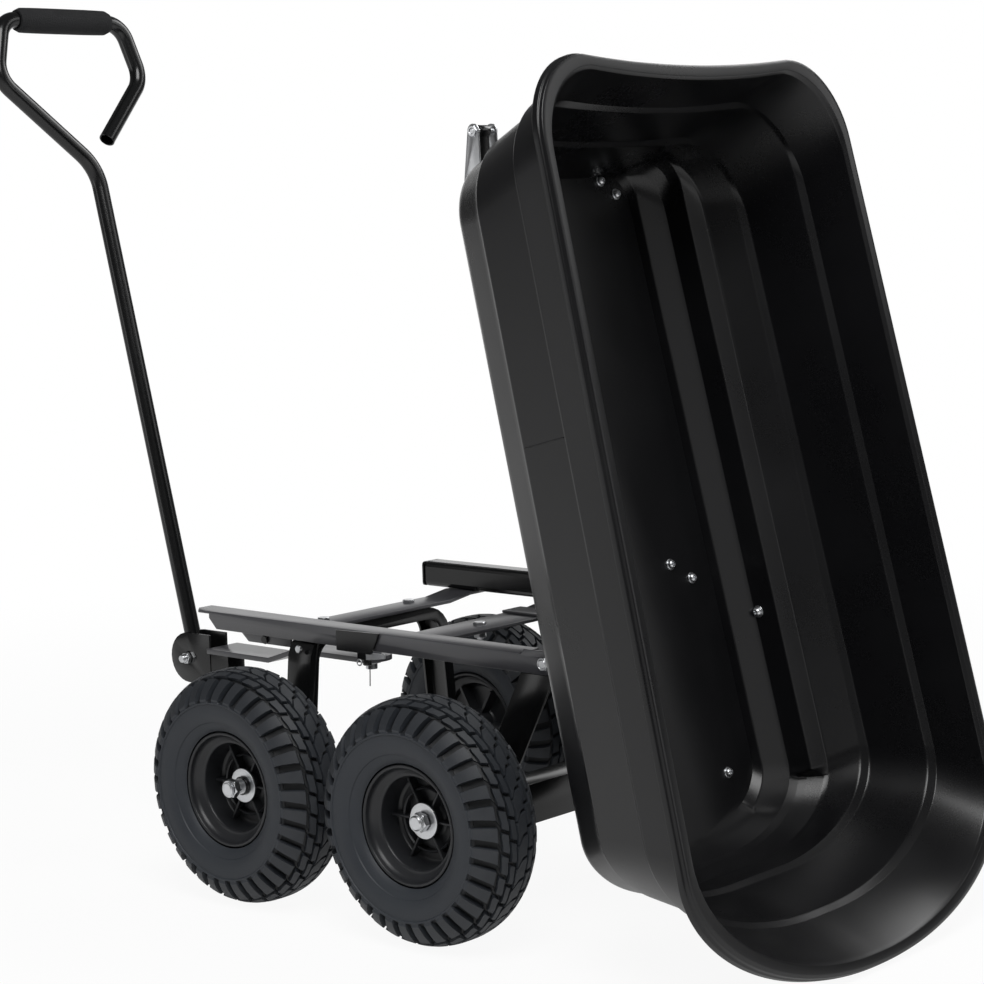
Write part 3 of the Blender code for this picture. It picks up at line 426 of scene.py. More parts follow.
# Each row of the tread: place from the middle to the shoulder, depth of the row, depth of its cross grooves,
# how much of a lug's pitch they take, and how far the row's pattern is shifted along
TREAD_ROWS = [
    (0.000, 0.0, 0.0044, 0.17, 0.00),
    (0.145, 0.0, 0.0044, 0.17, 0.10),
    (0.160, 0.0040, 0.0046, 0.17, 0.16),
    (0.200, 0.0040, 0.0046, 0.17, 0.28),
    (0.216, 0.0, 0.0046, 0.19, 0.34),
    (0.345, 0.0, 0.0046, 0.19, 0.42),
    (0.362, 0.0042, 0.0048, 0.19, 0.50),
    (0.404, 0.0042, 0.0048, 0.19, 0.70),
    (0.420, 0.0, 0.0048, 0.21, 0.78),
    (0.566, 0.0, 0.0048, 0.23, 0.90),
    (0.584, 0.0044, 0.0052, 0.28, 0.96),
    (0.630, 0.0044, 0.0056, 0.34, 1.08),
    (0.650, 0.0, 0.0060, 0.37, 1.14),
    (0.740, 0.0, 0.0066, 0.40, 1.18),
    (0.860, 0.0, 0.0070, 0.43, 1.22),
    (0.945, 0.0, 0.0068, 0.46, 1.25),
    (0.985, 0.0004, 0.0058, 0.47, 1.26),
]
# Each row of the sidewall: how far out, radius, and depth of the last of the grooves
SIDE_ROWS = [
    (0.0447, 0.1020, 0.0040), (0.0443, 0.0995, 0.0022), (0.0449, 0.0982, 0.0), (0.0447, 0.0968, 0.0),
    (0.0436, 0.0960, 0.0), (0.0438, 0.0920, 0.0), (0.0437, 0.0870, 0.0), (0.0429, 0.0822, 0.0),
    (0.0414, 0.0782, 0.0), (0.0403, 0.0760, 0.0), (0.0391, 0.0752, 0.0), (0.0377, 0.0722, 0.0),
    (0.0359, 0.0690, 0.0), (0.0336, 0.0664, 0.0), (0.0318, 0.0650, 0.0), (0.0300, 0.0660, 0.0),
    (0.0350, 0.0780, 0.0), (0.0350, 0.0980, 0.0),
]


def lug_columns(width):
    """The columns of one lug: down and up the walls of its groove, then evenly over its top."""
    wall = min(0.05, width * 0.25)
    top = width + (1 - width) * np.array([0.2, 0.4, 0.6, 0.8])
    return np.concatenate([[0.0, wall, width - wall, width], top])


print("tread rows:", len(TREAD_ROWS), "side rows:", len(SIDE_ROWS))


# %% The rings of a tyre


def tyre_rings(side):
    """The rings of one side, from the middle of the tread to inside the casing. Each ends with how far its
    points stand up: 0 at the foot of a groove, 1 on a lug, and about a half on the sidewall."""
    lug = np.repeat(np.arange(LUGS), len(GROOVE_COLUMNS))
    groove = np.tile(GROOVE_COLUMNS, LUGS)
    rings = []
    for place, sunk, depth, width, shift in TREAD_ROWS:
        share = np.tile(lug_columns(width), LUGS)
        shift = shift if side > 0 else 0.5 + shift
        zigzag = ZIGZAG * (np.abs(2 * ((share + 0.15) % 1.0) - 1) - 0.5)
        across = place + (zigzag if ZIGZAG_PLACES[0] < place < ZIGZAG_PLACES[1] else 0)
        slope = 3 * TYRE_CROWN * across**2 / TYRE_HALF
        down = np.maximum(sunk, depth * groove)
        lean = np.sqrt(1 + slope**2)
        radius = TYRE_RADIUS - TYRE_CROWN * across**3 - down / lean
        out = side * (TYRE_HALF * across - down * slope / lean)
        raised = np.where(down > 0.001, 0.0, 1.0)
        rings.append((radius, out, (lug + share + shift) * math.tau / LUGS, raised))
    for out, radius, depth in SIDE_ROWS:
        turn = (lug + share + shift) * math.tau / LUGS
        # Sidewall grooves stand lower, so the rubber paints them darker as shade.
        raised = 0.5 - groove * min(depth / 0.006, 0.5)
        rings.append((radius - 0.2 * depth * groove, side * (out - depth * groove), turn, raised))
    return rings


def make_tyre_mesh():
    rings = tyre_rings(-1)[::-1] + tyre_rings(1)[1:]
    block = [np.stack([r * np.sin(a), y + 0 * a, r * np.cos(a)], 1) for r, y, a, _ in rings]
    mesh = mesh_from("tyre", [shell(np.array(block), caps=False)])
    raised = np.concatenate([ring[3] for ring in rings]).astype(np.float32)
    mesh.attributes.new("raised", "FLOAT", "POINT").data.foreach_set("value", raised)
    return mesh


print("columns round a tyre:", LUGS * len(GROOVE_COLUMNS))


# %% The four tyres
WHEEL_BODIES = ["front_near", "front_far", "rear_near", "rear_far"]


def hub_of(place):
    """The middle of a wheel, from its plain tyre's box, turned so that +Y points outwards."""
    low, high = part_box("tyre_" + place)
    centre = (Vector(low) + Vector(high)) / 2
    turn = math.pi if centre.y < 0 else 0.0
    return Matrix.Translation(centre) @ Matrix.Rotation(turn, 4, "Z")


tyre_mesh = make_tyre_mesh()
for place in WHEEL_BODIES:
    node = "tyre_" + place
    add_piece("knobbly_" + node, tyre_mesh, "tyre", body_of[node], [node], 28, hub_of(place))
print("tyre faces:", len(tyre_mesh.polygons))

# %% [markdown]
# ## Rims
# The rims are moulded plastic: a rounded flange against the tyre, a sloping dish, a barrel, and a web deep
# inside with six thin ribs and a low ring that stiffen it. The turned part comes from one rounded profile.
# The ribs are thin plates with soft edges, set round the hub.

# %% Rims
RIM_PROFILE = [
    (0.0637, 0.0200), (0.0637, 0.0318), (0.0618, 0.0325), (0.0600, 0.0318), (0.0592, 0.0275),
    (0.0575, 0.0245), (0.0520, 0.0205), (0.0497, 0.0200), (0.0487, 0.0180), (0.0478, 0.0060),
    (0.0470, -0.0040), (0.0440, -0.0062), (0.0200, -0.0062), (0.0172, -0.0040), (0.0170, 0.0022),
    (0.0154, 0.0040), (0.0092, 0.0040), (0.0087, 0.0030), (0.0087, -0.0350), (0.0092, -0.0360),
    (0.0158, -0.0360), (0.0170, -0.0348), (0.0172, -0.0120), (0.0200, -0.0093), (0.0440, -0.0093),
    (0.0478, -0.0120), (0.0490, -0.0200), (0.0530, -0.0215), (0.0580, -0.0250), (0.0595, -0.0290),
    (0.0602, -0.0318), (0.0618, -0.0325), (0.0637, -0.0318), (0.0637, -0.0200), (0.0550, -0.0130),
    (0.0550, 0.0130),
]
RIB_COUNT = 6


def rib(inner, outer, low, high, wall):
    """A thin plate along +X whose upper edge is rounded."""
    half = wall / 2
    section = eased([(-half, low), (-half, high), (half, high), (half, low)], half * 0.9)
    block = [[(x, y, z) for y, z in section] for x in (inner, outer)]
    return shell(np.array(block))


def low_ring(radius, low, high, wall):
    half = wall / 2
    section = [(radius - half, low), (radius - half, high - half), (radius, high)]
    section += [(radius + half, high - half), (radius + half, low)]
    return turned(section, 96, caps=False)


def make_rim_mesh():
    soft = eased(RIM_PROFILE + RIM_PROFILE[:1], 0.0012)
    shapes = [turned(soft[:-1], 96, caps=False)]
    shapes.append(low_ring(0.0335, -0.0070, 0.0020, 0.0026))
    for i in range(RIB_COUNT):
        spin = Matrix.Rotation(i * math.tau / RIB_COUNT, 4, "Z")
        shapes.append(placed(rib(0.0160, 0.0480, -0.0070, 0.0042, 0.0030), spin))
        shapes.append(placed(rib(0.0160, 0.0485, -0.0240, -0.0086, 0.0030), spin))
    upright = Matrix.Rotation(-math.pi / 2, 4, "X")
    return mesh_from("rim", [placed(shape, upright) for shape in shapes])


rim_mesh = make_rim_mesh()
for place in WHEEL_BODIES:
    node = "rim_" + place
    add_piece("dished_" + node, rim_mesh, "rim_plastic", body_of[node], [node], 35, hub_of(place))
print("rim faces:", len(rim_mesh.polygons))

# %% [markdown]
# ## Nuts, bolts and washers
# Small bright parts draw the eye, and a six-sided prism with hard edges gives a model away. A real nut is
# chamfered by a cone, which cuts a round scallop into each flat. That is a minimum of two radii: the
# hexagon's and the cone's, ring by ring. A lock nut also carries a round collar.


# %% Hexagons cut by a cone
HEX_SIDES = 72


def hexagon(across):
    """The radius of a hexagon of that width across its flats, for a ring of angles."""
    around = np.arange(HEX_SIDES) * math.tau / HEX_SIDES
    return across / 2 / np.cos((around + math.pi / 6) % (math.pi / 3) - math.pi / 6)


def hex_block(across, length, bore=0.0, collar=0.0):
    """A nut or a bolt head standing on z = 0, with a scalloped top and, on a lock nut, a collar over it."""
    flats = hexagon(across)
    chamfer = across * 0.075
    rings = [(flats * 0.985, 0.0), (flats, across * 0.012)]
    # A hexagon's corners lie 0.577 of its width out, so the cone starts at the corners and cuts inwards
    for share in (0.0, 0.25, 0.5, 0.75, 1.0):
        cone = across * (0.577 - 0.107 * share)
        rings.append((np.minimum(flats, cone), length - chamfer * (1 - share)))
    top = length
    if collar:
        top = length + collar
        rings += [(across * 0.44, length), (across * 0.43, length + collar * 0.7), (across * 0.38, top)]
    if bore:
        rings += [(bore * 1.12, top), (bore, top - bore * 0.15), (bore, 0.0)]
        return turned(rings, HEX_SIDES, caps=False)
    rings.append((across * 0.30, top))
    return turned(rings, HEX_SIDES)


def washer(radius, bore, thickness):
    edge = thickness * 0.3
    corners = [(bore, 0), (radius, 0), (radius, thickness), (bore, thickness)]
    soft = eased(corners + corners[:2], edge)
    return turned(soft[1:-1], 64, caps=False)


THREAD_PITCH = 0.00125


def threaded(radius, low, high):
    """A rod with rings for a thread, and a chamfered end."""
    rings = [(radius * 0.9, low)]
    for i in range(int((high - low) / THREAD_PITCH)):
        rings += [(radius * 0.9, low + i * THREAD_PITCH), (radius, low + (i + 0.35) * THREAD_PITCH)]
        rings.append((radius, low + (i + 0.6) * THREAD_PITCH))
    rings += [(radius * 0.9, high - radius * 0.08), (radius * 0.8, high)]
    return turned(rings, 36)


DRIVE_SHARE = 0.45


def button(radius, height):
    """A round button head on z = 0, with a dished socket in its middle."""
    rings = [(radius, 0.0), (radius, height * 0.2), (radius * 0.93, height * 0.55)]
    rings += [(radius * 0.75, height * 0.85), (radius * 0.55, height), (radius * DRIVE_SHARE, height)]
    rings += [(radius * DRIVE_SHARE * 0.9, height * 0.45), (radius * 0.1, height * 0.4)]
    return turned(rings, 40)


print("nuts, washers, threads and buttons can be made")


# %% Wheel washers, nuts and stub ends
NUT_ACROSS = 0.0184
for place in WHEEL_BODIES:
    low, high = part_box("washer_" + place)
    centre = (Vector(low) + Vector(high)) / 2
    side = 1.0 if centre.y > 0 else -1.0
    start = min(abs(low[1]), abs(high[1]))
    at = aim((centre.x, side * start, centre.z), (0, side, 0))
    mesh = mesh_from("washer", [placed(washer(0.019, 0.0084, 0.0024), at)])
    add_piece("round_washer_" + place, mesh, "zinc_plate", "chassis", ["washer_" + place], 30)
    low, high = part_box("nut_" + place)
    start = min(abs(low[1]), abs(high[1]))
    at = aim((centre.x, side * start, centre.z), (0, side, 0), 0.35)
    nut = hex_block(NUT_ACROSS, 0.0072, 0.0083, 0.0026)
    mesh = mesh_from("nut", [placed(nut, at)])
    add_piece("lock_nut_" + place, mesh, "zinc_plate", "chassis", ["nut_" + place], 30)
print("wheel washers and nuts: 8")

# %% [markdown]
# ## The bin
# The bin is one moulded sheet. Its plan changes with height: narrow at the floor, wider at each of two
# ledges, widest at the lip, with small corners in front and a big sweeping round behind, and the whole tapers
# towards the front. So each level is one closed outline, and the bin is a stack of them: up the outside, over
# the rolled lip and down the inside. Rounding the stack's path rounds every ledge. Inside, two steps run
# along each side of the floor to stiffen it, and end where the rear sweeps up.

# %% The bin's levels
BIN_PIVOT = Vector((-0.26784, 0.0, 0.288))
BIN_TILT = math.radians(76.4)
BIN_FLOOR = 0.0376
BIN_DEPTH = 0.2224
LIP = (0.2224, 0.264, 0.567, 0.354, 0.084)
# Each level: height, reach to the side, to the front and to the rear, and the front corner's radius
OUTER_LEVELS = [
    (0.0000, 0.136, 0.494, 0.208, 0.036),
    (0.0012, 0.143, 0.501, 0.215, 0.040),
    (0.0425, 0.197, 0.509, 0.252, 0.068),
    (0.0895, 0.221, 0.516, 0.258, 0.080),
    (0.0945, 0.228, 0.521, 0.264, 0.081),
    (0.1598, 0.240, 0.535, 0.297, 0.083),
    (0.1648, 0.247, 0.540, 0.303, 0.083),
]
INNER_LEVELS = [
    (0.1648, 0.243, 0.536, 0.299, 0.098),
    (0.1598, 0.236, 0.531, 0.293, 0.078),
    (0.0945, 0.224, 0.517, 0.260, 0.094),
    (0.0895, 0.217, 0.512, 0.254, 0.074),
    (0.0570, 0.199, 0.507, 0.250, 0.062),
    (0.0525, 0.174, 0.506, 0.249, 0.030),
    (0.0458, 0.1733, 0.505, 0.246, 0.031),
    (0.0391, 0.1725, 0.504, 0.243, 0.034),
    (0.0325, 0.1718, 0.503, 0.240, 0.042),
    (0.0258, 0.171, 0.502, 0.236, 0.050),
    (0.0135, 0.1405, 0.500, 0.225, 0.024),
    (0.0040, 0.138, 0.498, 0.214, 0.030),
]
# For each inner level, the side where the rear sweeps up smoothly, and how far back its step runs
SMOOTH_SIDES = [0.243, 0.236, 0.224, 0.217, 0.200, 0.197]
SMOOTH_SIDES += [0.1905, 0.184, 0.1775, 0.171, 0.152, 0.138]
STEP_ENDS = [0.180] * 10 + [0.203] * 2


def lip_ring(out, rise):
    height, side, front, rear, corner = LIP
    return (height + rise, side + out, front + out, rear + out, corner)


# Over the lip: under its shelf, down inside the skirt, round its edge and up over the rolled top
LIP_STEPS = [
    (-0.0128, -0.0034), (-0.0030, -0.0034), (-0.0026, -0.0120), (0.0, -0.0120), (0.0, -0.0052),
    (-0.0014, -0.0044), (-0.0018, -0.0006), (-0.0050, 0.0), (-0.0130, -0.0004), (-0.0160, -0.0040),
]
LIP_PATH = [lip_ring(*step) for step in LIP_STEPS]
print("levels of the bin:", len(OUTER_LEVELS + LIP_PATH + INNER_LEVELS))


# %% Outlines of the bin
FRONT_STEPS = 10
CORNER_STEPS = 18
SIDE_STEPS = 26
REAR_STEPS = 60
REAR_CORNER = 0.063
REAR_CORNER_GROWTH = 0.081
REAR_STRETCH = 1.85
FRONT_BOW = 0.009
TAPER = 0.10
TAPER_FROM = 0.100


def bin_outline(level):
    """The whole outline at one level, in the bed's frame, from the middle of the front over the left side."""
    height, side, front, rear, near, smooth, step_end = level
    share = height / BIN_DEPTH
    far = REAR_CORNER + REAR_CORNER_GROWTH * share
    bow = FRONT_BOW * share
    steps = np.arange(1, FRONT_STEPS) / FRONT_STEPS
    spots = [np.stack([front - bow * (1 - steps**2), (side - near) * steps], 1)]
    turn = np.linspace(0, math.pi / 2, CORNER_STEPS)
    spots.append(np.stack([front - near + near * np.cos(turn), side - near + near * np.sin(turn)], 1))
    along = np.arange(1, SIDE_STEPS) / SIDE_STEPS
    spots.append(np.stack([front - near - (front - near + rear - far) * along, side + 0 * along], 1))
    turn = np.linspace(0, 1, REAR_STEPS) ** 1.3 * math.pi / 2
    behind = rear - far + far * np.sin(turn)
    fade = np.clip((behind - step_end) / max(0.006, 0.5 * (smooth - side)) + 0.4, 0, 1)
    edge = side + (smooth - side) * fade
    wide = np.minimum(far * REAR_STRETCH, edge - 0.004)
    spots.append(np.stack([-behind, edge - wide + wide * np.cos(turn)], 1))
    spots.append(np.array([(-rear, (smooth - wide[-1]) * k / 4) for k in (3, 2, 1)]))
    half = np.concatenate(spots)
    half[:, 1] *= 1 - TAPER * (half[:, 0] - TAPER_FROM)
    mirror = half[::-1] * (1, -1)
    ring = np.concatenate([[(front - bow, 0)], half, [(-rear, 0)], mirror])
    return np.column_stack([ring, np.full(len(ring), BIN_FLOOR + height)])


def bed_point(points):
    """From the bed's frame, x along it and z square to it, to the world with the bed tipped."""
    turn = Matrix.Rotation(-BIN_TILT, 3, "Y")
    return points @ np.array(turn).T + np.array(BIN_PIVOT)


def make_bin():
    # The outside has no steps, so its smooth side is its own side
    path = [(*level, level[1], STEP_ENDS[0]) for level in OUTER_LEVELS + LIP_PATH]
    path += [(*level, *end) for level, *end in zip(INNER_LEVELS, SMOOTH_SIDES, STEP_ENDS)]
    rounding = [0.002, 0.010, 0.012] + [0.003] * 4
    rounding += [0.0012] * len(LIP_PATH)
    rounding += [0.003] * 4 + [0.0022] * 2 + [0.0004] * 3 + [0.0022]
    stack = eased(path, rounding)
    block = np.array([bin_outline(level) for level in stack])
    points, faces = shell(block)
    return mesh_from("bin", [(bed_point(points), faces)])


bin_mesh = make_bin()
add_piece("moulded_bin", bin_mesh, "bin_plastic", "bed", ["bin_tray"], 42)
print("bin faces:", len(bin_mesh.polygons))

# %% [markdown]
# ## The pull handle
# The handle is one steel tube: a straight shaft that opens into a D, whose free end stops short of the shaft
# and shows its open bore. The foam grip is a sleeve that is a little fatter in its middle. A bent tube is a
# ring carried along a path, and on a path that lies in one plane a ring never has to twist.

# %% Tubes along a path
HANDLE_PIVOT = Vector((0.39316, 0.0, 0.211))
HANDLE_LEAN = math.radians(13.9)
HANDLE_PLACE = Matrix.Translation(HANDLE_PIVOT) @ Matrix.Rotation(HANDLE_LEAN, 4, "Y")


ARC_STEPS = 14


def rounded_path(corners, radii):
    """A path with true arcs of the given radii at its inner corners."""
    path = [Vector(corners[0])]
    for before, corner, after, radius in zip(corners, corners[1:], corners[2:], radii):
        before, corner, after = Vector(before), Vector(corner), Vector(after)
        back = (before - corner).normalized()
        ahead = (after - corner).normalized()
        half = back.angle(ahead) / 2
        reach = radius / math.tan(half)
        centre = corner + (back + ahead).normalized() * radius / math.sin(half)
        start = corner + back * reach - centre
        end = corner + ahead * reach - centre
        sweep = start.angle(end)
        for share in np.linspace(0, 1, ARC_STEPS + 1):
            spot = start * math.sin((1 - share) * sweep) + end * math.sin(share * sweep)
            path.append(centre + spot / math.sin(sweep))
    path.append(Vector(corners[-1]))
    return path


def tube(path, radius, side, sides=40):
    """Rings of one radius along a path whose plane is square to the side vector."""
    rings = []
    for i, spot in enumerate(path):
        ahead = (path[min(i + 1, len(path) - 1)] - path[max(i - 1, 0)]).normalized()
        out = side.cross(ahead).normalized()
        around = np.arange(sides) * math.tau / sides
        ring = np.outer(np.cos(around), side) + np.outer(np.sin(around), out)
        rings.append(np.array(spot) + ring * radius)
    return np.array(rings)


print("tubes can follow a path")


# %% Handle tube and grip
TUBE_RADIUS = 0.010
LOOP_TOP = 0.808
LOOP_LEFT = 0.100
LOOP_RIGHT = -0.086
GRIP_RADIUS = 0.0157
GRIP_BORE = 0.0104
GRIP_HALF = 0.071


def make_handle_tube():
    corners = [(0, 0, -0.012), (0, 0, 0.620), (0, 0.125, 0.735), (0, LOOP_LEFT, LOOP_TOP)]
    corners += [(0, LOOP_RIGHT, LOOP_TOP), (0, -0.102, 0.735), (0, -0.026, 0.656)]
    path = rounded_path(corners, [0.060, 0.035, 0.028, 0.028, 0.035])
    last = path[-1]
    inward = (path[-2] - last).normalized()
    rings = tube(path, TUBE_RADIUS, Vector((1, 0, 0)))
    middle = np.array(last)
    spread = rings[-1] - middle
    ends = [middle + spread * 0.9 - np.array(inward) * 0.0006, middle + spread * 0.82]
    ends.append(middle + spread * 0.80 + np.array(inward) * 0.025)
    block = np.concatenate([rings, np.array(ends)])
    return mesh_from("handle", [placed(shell(block), HANDLE_PLACE)])


def make_grip():
    middle = (LOOP_LEFT + LOOP_RIGHT) / 2
    profile = [(GRIP_BORE, -GRIP_HALF)]
    for along in np.linspace(-1, 1, 25):
        round_end = 0.0022 * (abs(along) > 0.99)
        radius = GRIP_RADIUS * (0.955 + 0.045 * (1 - along**4)) - round_end
        profile.append((radius, along * GRIP_HALF))
    profile.append((GRIP_BORE, GRIP_HALF))
    upright = Matrix.Translation((0, middle, LOOP_TOP)) @ Matrix.Rotation(-math.pi / 2, 4, "X")
    grip = turned(profile, 48, caps=False)
    return mesh_from("grip", [placed(placed(grip, upright), HANDLE_PLACE)])


add_piece("bent_handle_tube", make_handle_tube(), "black_paint", "handle", ["handle_tube"], 50)
grip = add_piece("foam_grip", make_grip(), "grip_foam", "handle", ["handle_grip"], 50)
print("handle and grip")

# %% [markdown]
# ## Soft edges on the steel
# Cut and pressed steel never has a perfect edge: powder coat rounds it, and the rounded edge catches a thin
# line of light that tells the eye where one plate ends. The plain plates are right but for that line. So each
# is copied, its flat faces are made whole again, and every sharp edge gets a small bevel.


# %% Bevelled copies of the plates
SHARP_ANGLE = math.radians(30)


def bevelled(node, width):
    form = bmesh.new()
    form.from_mesh(nodes[node].data)
    bmesh.ops.remove_doubles(form, verts=form.verts, dist=0.00002)
    bmesh.ops.dissolve_limit(form, angle_limit=math.radians(1), verts=form.verts, edges=form.edges)
    joined = [edge for edge in form.edges if edge.is_manifold]
    sharp = [edge for edge in joined if edge.calc_face_angle() > SHARP_ANGLE]
    bmesh.ops.bevel(
        form, geom=sharp, offset=width, segments=2, profile=0.5, affect="EDGES", clamp_overlap=True
    )
    mesh = bpy.data.meshes.new(node)
    form.to_mesh(mesh)
    form.free()
    for layer in ("custom_normal", "sharp_edge", "sharp_face"):
        if layer in mesh.attributes:
            mesh.attributes.remove(mesh.attributes[layer])
    return mesh


# The width of the bevel, and the plates that take it
RAIL_PLATES = ["side_rail_near", "side_rail_far", "front_cross_strap", "rear_cross_strap", "rail_doubler"]
PLATES = {
    0.0006: RAIL_PLATES,
    0.0008: ["front_axle_arch", "rear_leg_near", "rear_leg_far", "rear_axle_beam", "tongue_bar"],
    0.0005: ["handle_clevis", "bed_ear_near", "bed_ear_far", "latch_bracket", "latch_lever"],
    0.0018: ["bed_cross_front", "bed_cross_middle"],
}
PLATES_WITH_PAINTED_SHEEN = RAIL_PLATES + ["tongue_bar"]
for width, names in PLATES.items():
    for node in names:
        # Plates in this list take the grey with the painted reflection.
        finish = RAIL_PAINT_WITH_PAINTED_SHEEN if node in PLATES_WITH_PAINTED_SHEEN else None
        mesh = bevelled(node, width)
        add_piece("soft_" + node, mesh, slots[node], body_of[node], [node], 50, finish=finish)
print("plates with soft edges:", sum(len(names) for names in PLATES.values()))

# %% [markdown]
# ## Pins, axles and the bolts of the frame
# The cart is held together by bolts through its straps and rails, and turns on pins. The pins and axles are
# turned steel, so they come from rounded profiles. Where a nut or a head stands on a plate, its place is on
# that plate's own face, so it looks right from every side, not only from the camera's.

# %% Turned pins and axles
AXLE_RADIUS = 0.008
SLEEVE_RADIUS = 0.0115
HUB_START = 0.1628
WASHER_OUT = 0.2076
SPACER_THREAD = 0.0086
END_THREAD = 0.0082
BEAM_END = 0.1090
REAR_ROD_END = 0.2090
KING_PIN_RADIUS = 0.0068
KING_BOSS_RADIUS = 0.0118
KING_FLANGE_RADIUS = 0.0135


def turned_between(points):
    """A turned pin from (height, radius) steps, each step standing square to the next."""
    profile = [(0.0004, points[0][0])]
    for (height, radius), (upper, _) in zip(points, points[1:]):
        profile += [(radius, height), (radius, upper)]
    profile.append((0.0004, points[-1][0]))
    return turned(eased(profile, 0.0006))


def make_front_axle(place):
    low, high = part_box("front_axle_" + place)
    side = 1.0 if low[1] > 0 else -1.0
    reach = max(abs(low[1]), abs(high[1]))
    start = min(abs(low[1]), abs(high[1]))
    out = WASHER_OUT - start
    steps = [(0.0, 0.0108), (0.0095, AXLE_RADIUS), (0.0145, SLEEVE_RADIUS)]
    steps += [(HUB_START - start, AXLE_RADIUS), (out + 0.0004, 0.0104)]
    steps += [(out + 0.0030, SPACER_THREAD), (out + 0.0034, SPACER_THREAD)]
    thread = threaded(SPACER_THREAD, out + 0.003, out + 0.0112)
    end = threaded(END_THREAD, out + 0.0112, reach - start)
    at = aim(((low[0] + high[0]) / 2, side * start, (low[2] + high[2]) / 2), (0, side, 0))
    bright = mesh_from("front_thread", [placed(thread, at), placed(end, at)])
    return mesh_from("front_axle", [placed(turned_between(steps), at)]), bright


for place in ("near", "far"):
    node = "front_axle_" + place
    dark, bright = make_front_axle(place)
    add_piece("turned_" + node, dark, "black_paint", "chassis", [node], 35)
    add_piece("thread_" + node, bright, "zinc_plate", "chassis", (), 35)


def make_rear_axle():
    low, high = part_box("rear_axle_rod")
    steps = [(-REAR_ROD_END, AXLE_RADIUS), (-HUB_START, SLEEVE_RADIUS), (-BEAM_END, AXLE_RADIUS)]
    steps += [(BEAM_END, SLEEVE_RADIUS), (HUB_START, AXLE_RADIUS), (REAR_ROD_END, AXLE_RADIUS)]
    middle = ((low[0] + high[0]) / 2, 0, (low[2] + high[2]) / 2)
    rod = placed(turned_between(steps), aim(middle, (0, 1, 0)))
    thread = threaded(END_THREAD, 0.2085, high[1])
    ends = [placed(thread, aim(middle, (0, side, 0))) for side in (-1, 1)]
    return mesh_from("rear_axle", [rod]), mesh_from("rear_threads", ends)


dark, bright = make_rear_axle()
add_piece("turned_rear_axle", dark, "black_paint", "chassis", ["rear_axle_rod"], 35)
add_piece("rear_axle_threads", bright, "zinc_plate", "chassis", (), 35)


def make_king_pin():
    low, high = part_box("king_pin")
    top = high[2] - low[2]
    steps = [(0.0, KING_PIN_RADIUS), (0.0075, KING_BOSS_RADIUS), (0.0095, KING_PIN_RADIUS)]
    steps += [(0.0165, KING_BOSS_RADIUS), (top - 0.004, KING_FLANGE_RADIUS), (top, KING_FLANGE_RADIUS)]
    at = aim(((low[0] + high[0]) / 2, 0, low[2]), (0, 0, 1))
    return mesh_from("king_pin", [placed(turned_between(steps), at)])


add_piece("turned_king_pin", make_king_pin(), "zinc_plate", "chassis", ["king_pin"], 35)
print("axles and king pin")


# %% Pivot bolts with real heads and nuts
def pivot_bolt(name, node, body, across, radius, head, nut):
    """Replaces a plain pin along Y: its head on the far end of its box, its nut on the other."""
    low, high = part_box(node)
    middle = ((low[0] + high[0]) / 2, (low[2] + high[2]) / 2)
    side = 1.0 if low[1] + high[1] > 0 else -1.0
    ends = (low[1], high[1]) if side > 0 else (high[1], low[1])
    inner = aim((middle[0], ends[0] + side * head, middle[1]), (0, -side, 0), 0.2)
    outer = aim((middle[0], ends[1] - side * nut, middle[1]), (0, side, 0), 0.6)
    length = abs(ends[1] - ends[0])
    rod = threaded(radius, 0.0002, length - head - 0.0004)
    start = aim((middle[0], ends[0] + side * head, middle[1]), (0, side, 0))
    shapes = [placed(hex_block(across, head), inner), placed(rod, start)]
    shapes.append(placed(hex_block(across, min(nut, 0.0052), radius * 1.02), outer))
    add_fitting(name, shapes, "zinc_plate", body, [node])


pivot_bolt("handle_pivot_bolt", "handle_pin", "tongue", 0.0130, 0.0049, 0.0058, 0.0118)
for side in ("near", "far"):
    pivot_bolt("bed_pivot_bolt_" + side, "bed_pin_" + side, "chassis", 0.0130, 0.0049, 0.0058, 0.0060)
pivot_bolt("latch_hinge_bolt", "latch_pin", "bed", 0.0104, 0.0029, 0.0020, 0.0020)
print("pivot bolts: 4")

# %% Bolts through the straps and rails
STRAP_TOP = 0.2927
STRAP_BOTTOM = 0.2887
STRAP_BOLT_ACROSS = 0.0130


def strap_bolt(name, x, y, hang):
    """A hexagon head on a strap's top, its thread below, and a nut some way down."""
    head = hex_block(STRAP_BOLT_ACROSS, 0.0036)
    shapes = [placed(head, aim((x, y, STRAP_TOP), (0, 0, 1), x * 40))]
    thread = threaded(0.0039, 0.0, hang + 0.0080)
    shapes.append(placed(thread, aim((x, y, STRAP_BOTTOM), (0, 0, -1))))
    nut = hex_block(STRAP_BOLT_ACROSS, 0.0060, 0.0040)
    shapes.append(placed(nut, aim((x, y, STRAP_BOTTOM - hang), (0, 0, -1), 0.4)))
    add_fitting(name, shapes, "zinc_plate", "chassis")


strap_bolt("strap_bolt_near", 0.0990, 0.0670, 0.0002)
strap_bolt("strap_bolt_far", 0.1010, -0.0750, 0.0110)
strap_bolt("strap_bolt_rear", -0.0740, -0.0060, 0.0040)


def plate_bolt(name, place, across, slot):
    """A hexagon head on a plate that faces the near side."""
    shape = placed(hex_block(across, across * 0.36), aim(place, (0, 1, 0), 0.3))
    add_fitting(name, [shape], slot, "chassis")


plate_bolt("doubler_bolt", (0.1535, 0.1067, 0.2712), 0.0090, "black_paint")
plate_bolt("arch_bolt", (0.0860, 0.1190, 0.2690), 0.0080, "zinc_plate")
print("frame bolts: 5")


# %% [markdown]
# ## Small fittings
# A few small things make a cart look real: a stop plate on the near rail with its loop and wire, the bolts that
# hold the bin to its frame, the line that the mould leaves, and the cap in the end of the box beam. They could
# be painted on, but each catches light or throws a small shadow. So each is a small shape that rides with the
# body it is fastened to.


# %% The stop plate on the near rail, its bracket and its clip
PLATE_CORNER = 0.0010
PLATE_EDGE = 0.0005


